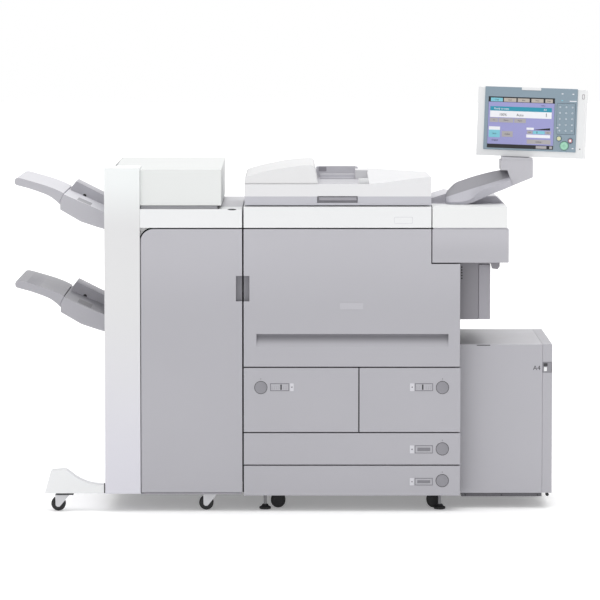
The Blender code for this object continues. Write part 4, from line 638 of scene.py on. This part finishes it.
# Casters: hub caps on both sides
for place in ("front_left", "front_right", "rear_left", "rear_right"):
    low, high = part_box("caster_wheel_" + place)
    centre = (low + high) / 2
    caps = [knob((centre.x, low.y + 0.0002, centre.z), 0.0095, 0.0014, step=0.0006),
            knob((centre.x, high.y - 0.0002, centre.z), 0.0095, 0.0014, step=0.0)]
    own(together(caps), "hub_" + place, "wheel_" + place, "steel")
for number in range(1, 5):
    low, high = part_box(f"main_caster_wheel_{number}")
    centre = (low + high) / 2
    caps = [knob((centre.x, low.y + 0.0002, centre.z), 0.013, 0.0012, step=0.0005),
            knob((centre.x, high.y - 0.0002, centre.z), 0.013, 0.0012)]
    own(together(caps), f"twinHub{number}", f"twin_wheel_{number}", "black")
say("body details")


# Control panel: its own frame runs right, back and up
joints = {joint["name"]: joint for joint in record["behaviour"]["joints"]}
right = -Vector(joints["panel_tilt"]["axis"]).normalized()
back = Vector(joints["keys_press"]["axis"]).normalized()
rise = right.cross(back)
pivot = Vector(joints["panel_tilt"]["pos_m"])
pivotAt = {"right": -0.045, "back": 0.060, "rise": -0.020}    # the pivot, from the middle of the panel's face
core = pivot - (right * pivotAt["right"] + back * pivotAt["back"] + rise * pivotAt["rise"])
onPanel = Matrix.Translation(core) @ Matrix((right, back, rise)).transposed().to_4x4()
screenLeft, screenTop, screenWide, screenTall = -0.14185, 0.0811, 0.2215, 0.166
screenFace, bezelFace, caseFace = -0.0033, -0.0043, 0.0
numberFace, keyFace, startFace = -0.0051, -0.0055, -0.0065
layerStep = 0.00016                               # from one layer on the screen to the next
inkThick = 0.00008


def seat(piece):
    piece.matrix_world = onPanel @ piece.matrix_world
    choose(piece)
    bpy.ops.object.transform_apply(location=True, rotation=True, scale=True)
    return piece


neckLow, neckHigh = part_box("neck")
collar = {
    "left": neckLow.x + 0.003, "right": neckHigh.x - 0.003, "front": neckLow.y + 0.0015,
    "deep": 0.060, "gap": 0.0014, "start": 0.0826,
}
neckTop = neckLow.z + collar["start"]
caseEnd = -0.111
under = onPanel @ Vector((0.0, 0.0, caseEnd))     # a point of the plane the case ends on


def underCase(x, y):
    return under.z - (rise.x * (x - under.x) + rise.y * (y - under.y)) / rise.z - collar["gap"]


collarBack = collar["front"] + collar["deep"]
piece = block((collar["left"], collar["front"], neckTop - 0.002), (collar["right"], collarBack, neckTop + 0.004))
for x in (collar["left"], collar["right"]):
    top = min(underCase(x, collar["front"]), underCase(x, collarBack))
    edit(piece, lambda e: all(v.co.z > neckTop + 0.003 and abs(v.co.x - x) < 0.002 for v in e.verts),
         lambda: bpy.ops.transform.translate(value=(0.0, 0.0, top - neckTop - 0.004)))
own(piece, "neckCollar", "panel_arm", "neck")


def tiles(name, material, rows, layer=1, corner=0.0):
    made = []
    for across0, down0, across1, down1 in rows:   # shares of the screen from its top left corner
        u0, u1 = (screenLeft + screenWide * a for a in (across0, across1))
        w1, w0 = (screenTop - screenTall * d for d in (down0, down1))
        low, high = (u0, screenFace - layerStep * layer, w0), (u1, screenFace + 0.0001, w1)
        made.append(block(low, high, corner, 1, 0.00006))
    own(seat(together(made)), name, "control_panel", material)


def note(name, text, size, across, down, material="ink", layer=2):
    spot = Matrix.Translation(
        (screenLeft + screenWide * across, screenFace - layerStep * layer, screenTop - screenTall * down)
    )
    own(words(text, size, onPanel @ spot, inkThick), name, "control_panel", material)


tiles("screenStrips", "ink", [(0.0, 0.0, 1.0, 0.102), (0.0, 0.925, 1.0, 1.0)])
tiles("screenTabLive", "cyan", [(0.034, 0.022, 0.215, 0.094)], 2, 0.0006)
tiles("screenTabs", "beige", [
    (0.232, 0.022, 0.420, 0.094), (0.440, 0.022, 0.620, 0.094),
    (0.648, 0.022, 0.830, 0.094), (0.858, 0.022, 0.970, 0.094),
], 2, 0.0006)
tabs = (("Copy", 0.125), ("Send", 0.326), ("Box", 0.530), ("Print", 0.739), ("Scan", 0.914))
for i, (text, across) in enumerate(tabs):
    note(f"tabWord{i}", text, 0.0062, across, 0.058, layer=3)
note("readyWord", "Status", 0.0052, 0.830, 0.150)
tiles("screenBar", "teal", [(0.030, 0.190, 0.960, 0.275)])
note("barWord", "Ready to copy.", 0.0085, 0.205, 0.232, "paper")
note("barRight", "A4", 0.0085, 0.860, 0.232, "paper")
tiles("screenBox", "paper", [(0.030, 0.275, 0.960, 0.402)])
note("ratioWord", "100%", 0.0115, 0.225, 0.350)
note("paperWord", "Auto", 0.0115, 0.485, 0.350)
note("countWord", "1", 0.0170, 0.880, 0.338)
tiles("screenKeys", "keyGrey", [
    (0.030, 0.415, 0.155, 0.500), (0.165, 0.415, 0.385, 0.500), (0.400, 0.415, 0.575, 0.500),
    (0.220, 0.670, 0.385, 0.780), (0.600, 0.645, 0.680, 0.705), (0.875, 0.645, 0.960, 0.705),
    (0.600, 0.815, 0.960, 0.900), (0.740, 0.938, 0.900, 0.988), (0.945, 0.938, 0.985, 0.988),
], 2, 0.0006)
for i, (text, across, down) in enumerate((
    ("1:1", 0.092, 0.458), ("Zoom", 0.275, 0.458), ("Paper", 0.487, 0.458), ("2-sided", 0.302, 0.725),
    ("Settings", 0.780, 0.858), ("Light", 0.640, 0.675), ("Dark", 0.917, 0.675),
)):
    note(f"keyWord{i}", text, 0.0062 if down < 0.6 or down > 0.7 else 0.0045, across, down, layer=3)
tiles("screenToggleOn", "cyan", [(0.020, 0.650, 0.190, 0.795), (0.690, 0.645, 0.865, 0.705)], 2, 0.0006)
tiles("screenToggleOff", "paper", [
    (0.020, 0.585, 0.190, 0.650), (0.590, 0.720, 0.950, 0.780), (0.590, 0.585, 0.700, 0.628),
])
note("toggleWord", "Sort", 0.0070, 0.105, 0.722, layer=3)
note("footWord", "Original", 0.0065, 0.115, 0.850)
density = {"steps": 12, "start": 0.700, "wide": 0.0204, "rise": 0.0035}
tiles("densityBar", "ink", [
    (density["start"] + density["wide"] * i, 0.626 - density["rise"] * (i + 1), 0.7204 + density["wide"] * i, 0.628)
    for i in range(density["steps"])
])
tiles("densityMark", "ink", [(0.745, 0.655, 0.755, 0.695)], 3)


def caps(name, body, material, slotName, face, spots, radius, length=0.0005):
    made = [knob((u, face - length / 2 + 0.0001, w), radius, length, 0.0004, 0.0, 28) for u, w in spots]
    own(seat(together(made)), name, body, material)


columns, rowsUp = (0.099, 0.1195, 0.140), [-0.022 + 0.019 * row for row in range(5)]
numbers = [(u, w) for w in rowsUp for u in columns]
caps("numberCaps", "keys", "keyCap", "pale_shell", numberFace, numbers, 0.0031)
signs = ("*", "0", "#", "7", "8", "9", "4", "5", "6", "1", "2", "3", "ID", "?", "C")
for i, (sign, (u, w)) in enumerate(zip(signs, numbers)):
    spot = Matrix.Translation((u, numberFace - 0.0005, w))
    size = 0.0042 if len(sign) == 1 else 0.003
    own(words(sign, size, onPanel @ spot, inkThick), f"sign_{i}", "keys", "ink")
caps("resetCap", "keys", "yellow", "pale_shell", keyFace, [(0.0985, -0.048)], 0.0064)
caps("stopCap", "keys", "red", "white_shell", keyFace, [(0.1365, -0.054)], 0.0064)
caps("stopCentre", "keys", "paper", "white_shell", keyFace - 0.0004, [(0.1365, -0.054)], 0.0040)
caps("startCap", "start", "mint", "start_green", startFace, [(0.1168, -0.071)], 0.0112)
mark = Matrix.Translation((0.1168, startFace - 0.0005, -0.071))
ray = [block((-0.0006, -0.0001, 0.0016), (0.0006, 0.0001, 0.0052), soft=0.00004) for _ in range(4)]
for i, part in enumerate(ray):
    part.matrix_world = onPanel @ mark @ Matrix.Rotation(math.radians(90 * i), 4, "Y")
    choose(part)
    bpy.ops.object.transform_apply(location=True, rotation=True, scale=True)
own(together(ray), "startSign", "start", "greenInk")
lights = {
    "topLights": ("paper", [(0.1045, 0.0965), (0.1405, 0.0965)]), "cyanLight": ("cyan", [(0.1045, 0.0750)]),
    "readyLight": ("paper", [(0.1450, -0.0790)]), "arrowLight": ("paper", [(0.0918, -0.0135)]),
}
lightSize = {"halfWide": 0.0030, "halfTall": 0.0014, "corner": 0.0008}
lightLow, lightHigh = bezelFace - 0.0003, bezelFace + 0.0002
for name, (material, spots) in lights.items():
    made = []
    for u, w in spots:
        made.append(block(
            (u - lightSize["halfWide"], lightLow, w - lightSize["halfTall"]),
            (u + lightSize["halfWide"], lightHigh, w + lightSize["halfTall"]), lightSize["corner"], soft=0.00008,
        ))
    own(seat(together(made)), name, "control_panel", material)
label = block((0.1290, lightLow, 0.0722), (0.1520, lightHigh, 0.0750), 0.0006, soft=0.00008)
own(seat(label), "labelLine", "control_panel", "paper")
powerLight = knob((0.1680, caseFace - 0.0003, -0.0800), 0.0017, 0.0008)
own(seat(powerLight), "powerLight", "control_panel", "deep")
dialPlate = block((0.1690, caseFace - 0.0005, 0.0810), (0.1775, caseFace + 0.0003, 0.0975), 0.0025)
own(seat(dialPlate), "dialPlate", "control_panel", "keyGrey")
dialCore = block((0.1710, caseFace - 0.0009, 0.0835), (0.1755, caseFace - 0.0003, 0.0950), 0.0018)
own(seat(dialCore), "dialCore", "control_panel", "white")
say("control panel")


# Floor, world and lamps
floorSize = {"wide": 80.0, "grey": (251, 251, 251)}
bpy.ops.mesh.primitive_plane_add(size=floorSize["wide"], location=(0, 0, -0.0005))
floor = bpy.context.object
floor.name = "floor"
floor.data.materials.append(finish("floorPaint", floorSize["grey"], 0.8, 0.0, 900.0, 0.002, glow=0.25))

light = {"seen": 1.0, "room": 0.54}
world = bpy.data.worlds.new("room")
bpy.context.scene.world = world
world.use_nodes = True
tree = world.node_tree
room = tree.nodes["Background"]
room.inputs["Color"].default_value = (1, 1, 1, 1)
path = tree.nodes.new("ShaderNodeLightPath")
power = tree.nodes.new("ShaderNodeMapRange")
power.inputs["To Min"].default_value = light["room"]
power.inputs["To Max"].default_value = light["seen"]
tree.links.new(path.outputs["Is Camera Ray"], power.inputs["Value"])
tree.links.new(power.outputs["Result"], room.inputs["Strength"])

lamps = {                                         # place, strength, spread in degrees
    "overhead": ((0.3, -0.5, 8.0), 1.54, 70.0),
    "frontLeft": ((-4.0, -8.0, 3.6), 0.28, 40.0),
    "rear": ((3.0, 8.0, 4.0), 0.55, 60.0),
}
for name, (spot, strength, spread) in lamps.items():
    lamp = bpy.data.lights.new(name, "SUN")
    lamp.energy = strength
    lamp.angle = math.radians(spread)
    holder = bpy.data.objects.new(name, lamp)
    bpy.context.scene.collection.objects.link(holder)
    holder.location = spot
    holder.rotation_euler = (-Vector(spot)).to_track_quat("-Z", "Y").to_euler()
bpy.context.scene.view_settings.view_transform = "Standard"
say("light")
